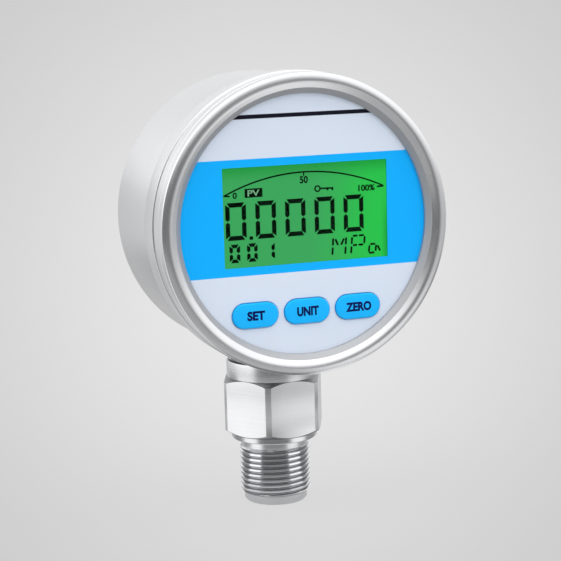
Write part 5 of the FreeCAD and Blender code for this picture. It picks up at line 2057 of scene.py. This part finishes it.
@dataclass
class Studio:
    """Pale seamless floor, soft light and the camera. Metres and degrees.

    The paper carries a painted pool of light: it is brightest to the eye along the main view
    and falls off round it. That pattern is fixed in the room: it starts from pool_from, which
    is the main camera's own place written down as a point, and doesn't follow the camera to
    other views.

    Attributes:
        surroundings: What steel and plastic see round them.
        floor_colour: The paper's colour where it is lit.
        paper_level: Brightness of the paper along the main view, where 1 is white.
        paper_edge: Its brightness from pool_reach outwards.
        paper_share: How much of what the camera sees of the paper is that brightness.
        paper_lit: Brightness that stands for lit paper past the floor's edge.
        mirror_share: How much of what steel mirrors of the paper is set here.
        pool_from: Fixed point that the pattern starts from: the main camera's place.
        pool_reach: Degrees off the main view's axis at which it ends.
        card_share: How strongly the paper shows the card's brightening.
        mirrored_floor: What steel mirrors of the floor further off.
        mirrored_wall: What it mirrors of the backdrop's upper part.
        wall_rise: Heights over which that changes.
        dim_reach: Distances over which the close floor changes to the further one.
        dim_share: How much of the further floor in front steel mirrors as dark.
        dim_colour: The colour of that dark.
    """

    datum: Datum
    surroundings: Surroundings = Surroundings()
    floor_colour: Colour = (0.62, 0.62, 0.62)
    paper_level: float = 0.805
    paper_edge: float = 0.55
    paper_share: float = 0.9
    paper_lit: float = 0.85
    mirror_share: float = 0.85
    pool_from: tuple[float, float, float] = (-0.163, -0.455, 0.142)
    pool_reach: float = 17.4
    card_share: float = 0.75
    mirrored_floor: float = 0.56
    mirrored_wall: float = 1.1
    wall_rise: Point2 = (0.05, 0.45)
    dim_reach: Point2 = (0.25, 0.45)
    dim_share: float = 0.9
    dim_colour: Colour = (0.1, 0.1, 0.1)
    floor_size: Point2 = (5.0, 4.0)
    floor_back: float = 1.6
    sweep_radius: float = 0.7
    wall_height: float = 1.6
    view_azimuth: float = -20.08
    view_elevation: float = 9.31
    view_roll: float = -1.53
    view_distance: float = 0.45744
    view_shift: Point2 = (-0.007477, -0.01443)
    focal_length: float = 111.5

    def paper(self) -> bpy.types.Material:
        """The floor's paper: pale to the eye with a painted pool of light, dim in front where only
        steel mirrors it.
        """
        board = Board.material("studio_paper")
        metres = board.node("ShaderNodeTexCoord", output="Object")
        x, y, z = board.split(metres)
        right, ahead, rise = (axis - start for axis, start in zip((x, y, z), self.pool_from))
        distance = (right * right + ahead * ahead + rise * rise).root()
        turn = right.bearing(ahead) + self.view_azimuth
        tilt = (rise / distance).slope() + self.view_elevation
        away = (turn * turn + tilt * tilt).root()
        camera, glossy, through = (board.node("ShaderNodeLightPath", output=kind) for kind in
                                   ("Is Camera Ray", "Is Glossy Ray", "Is Transmission Ray"))
        # Painted pool of light: the paper's brightness to the eye falls from paper_level to
        # paper_edge away from the main view.
        off_axis = away.step(0.0, self.pool_reach)
        pale = self.paper_level + (self.paper_edge - self.paper_level) * off_axis
        around = self.surroundings
        bearing, distance = x.bearing(0 - y), (x * x + y * y).root()
        reach = distance.step(*self.dim_reach)
        up_wall = z.step(*self.wall_rise)
        far = (self.mirrored_floor + (self.mirrored_wall - self.mirrored_floor) * up_wall
               + self.card_share * around.card_level * around.card(bearing))
        close = around.near_floor(bearing, distance)
        steel_sees = close + (far - close) * reach
        level = pale + glossy * (steel_sees - pale)
        lit = board.node("ShaderNodeBsdfDiffuse", None, {"Color": (*self.floor_colour, 1)})
        glow = board.node("ShaderNodeEmission", None,
                          {"Color": board.vector(level, level, level)})
        dim = board.node("ShaderNodeEmission", None, {"Color": (*self.dim_colour, 1)})
        set_here = self.paper_share * (camera + through) + self.mirror_share * glossy
        seen = board.node("ShaderNodeMixShader", None, {0: set_here, 1: lit, 2: glow})
        in_dim = self.dim_share * glossy * reach * around.dim(bearing)
        paper = board.node("ShaderNodeMixShader", None, {0: in_dim, 1: seen, 2: dim})
        board.node("ShaderNodeOutputMaterial", None, {"Surface": paper})
        return board.owner

    def floor(self) -> None:
        """A floor that sweeps up into a backdrop."""
        Bench.clear()
        bpy.ops.mesh.primitive_plane_add(size=1)
        floor = bpy.context.object
        floor.name = "studio_floor"
        floor.data.transform(Matrix.Diagonal((*self.floor_size, 1.0, 1.0)))
        floor.data.transform(Matrix.Translation((0, self.floor_back - self.floor_size[1] / 2, 0)))
        bpy.ops.object.mode_set(mode="EDIT")
        bpy.ops.mesh.select_all(action="DESELECT")
        bpy.ops.object.mode_set(mode="OBJECT")
        far = max(vertex.co.y for vertex in floor.data.vertices)
        for vertex in floor.data.vertices:
            vertex.select = vertex.co.y > far - CLOSE
        for edge in floor.data.edges:
            edge.select = all(floor.data.vertices[index].select for index in edge.vertices)
        bpy.ops.object.mode_set(mode="EDIT")
        bpy.ops.mesh.spin(steps=24, angle=-math.radians(90), center=(0, far, self.sweep_radius),
                          axis=(1, 0, 0))
        bpy.ops.mesh.extrude_region_move(
            TRANSFORM_OT_translate={"value": (0, 0, self.wall_height)})
        bpy.ops.object.mode_set(mode="OBJECT")
        bpy.ops.object.shade_smooth()
        floor.data.materials.append(self.paper())
        floor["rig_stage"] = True

    def world(self) -> None:
        """Soft light from all round, and plain paper where the camera looks past the floor."""
        world = bpy.data.worlds.new("studio_world")
        bpy.context.scene.world = world
        board = Board(world)
        direction = board.node("ShaderNodeTexCoord", output="Generated")
        level = self.surroundings.level(board, direction)
        camera = board.node("ShaderNodeLightPath", output="Is Camera Ray")
        plain = self.paper_share * self.paper_edge + (1 - self.paper_share) * self.paper_lit
        strength = level + camera * (plain - level)
        background = board.node("ShaderNodeBackground", None,
                                {"Color": (1, 1, 1, 1), "Strength": strength})
        board.node("ShaderNodeOutputWorld", None, {"Surface": background})

    def camera(self) -> None:
        """The camera, above the dial, to the left of its front and looking slightly down."""
        turn, rise = math.radians(self.view_azimuth), math.radians(self.view_elevation)
        back = Vector((math.sin(turn) * math.cos(rise), -math.cos(turn) * math.cos(rise),
                       math.sin(rise)))
        level = Vector((math.cos(turn), math.sin(turn), 0))
        upright = back.cross(level)
        roll = math.radians(self.view_roll)
        right = math.cos(roll) * level + math.sin(roll) * upright
        up = math.cos(roll) * upright - math.sin(roll) * level
        dial = Vector((0, self.datum.front, self.datum.dial_height)) * MM
        data = bpy.data.cameras.new("camera")
        data.lens = self.focal_length
        data.sensor_width = 36.0
        data.clip_start, data.clip_end = 0.01, 20.0
        camera = bpy.data.objects.new("camera", data)
        bpy.context.scene.collection.objects.link(camera)
        aside, above = self.view_shift
        place = dial + aside * right + above * up + self.view_distance * back
        turned = Matrix((right, up, back)).transposed().to_4x4()
        camera.matrix_world = Matrix.Translation(place) @ turned
        bpy.context.scene.camera = camera

    def build(self) -> None:
        """Set up the floor, the light and the camera."""
        self.floor()
        self.world()
        self.camera()
        bpy.context.scene.view_settings.view_transform = "Standard"


def write_sizes(before: object, after: object) -> None:
    """Put the CAD box and the visual model's box into plain numbers, which are not kept.

    Args:
        before: Bounds straight after the frame was loaded.
        after: Bounds of the finished model.
    """
    def plain(bounds: object) -> list[list[float]]:
        """Two corners as lists."""
        return [[float(value) for value in corner] for corner in bounds]

    {"cad": plain(before), "visual": plain(after)}


def main() -> None:
    """Build every sub-assembly in order."""
    logging.basicConfig(level=logging.INFO, format="%(message)s")
    cad_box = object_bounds()
    datum = Datum.read()
    bench = Bench(datum)
    Studio(datum).build()
    InnerParts(bench).dress()
    Bezel(bench).build()
    Drum(bench).build()
    RearCover(bench).build()
    Stem(bench).build()
    WeldedBoss(bench).build()
    Keys(bench).build()
    DisplayMarks(bench).build()
    write_sizes(cad_box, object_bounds())


if __name__ == "__main__":
    main()
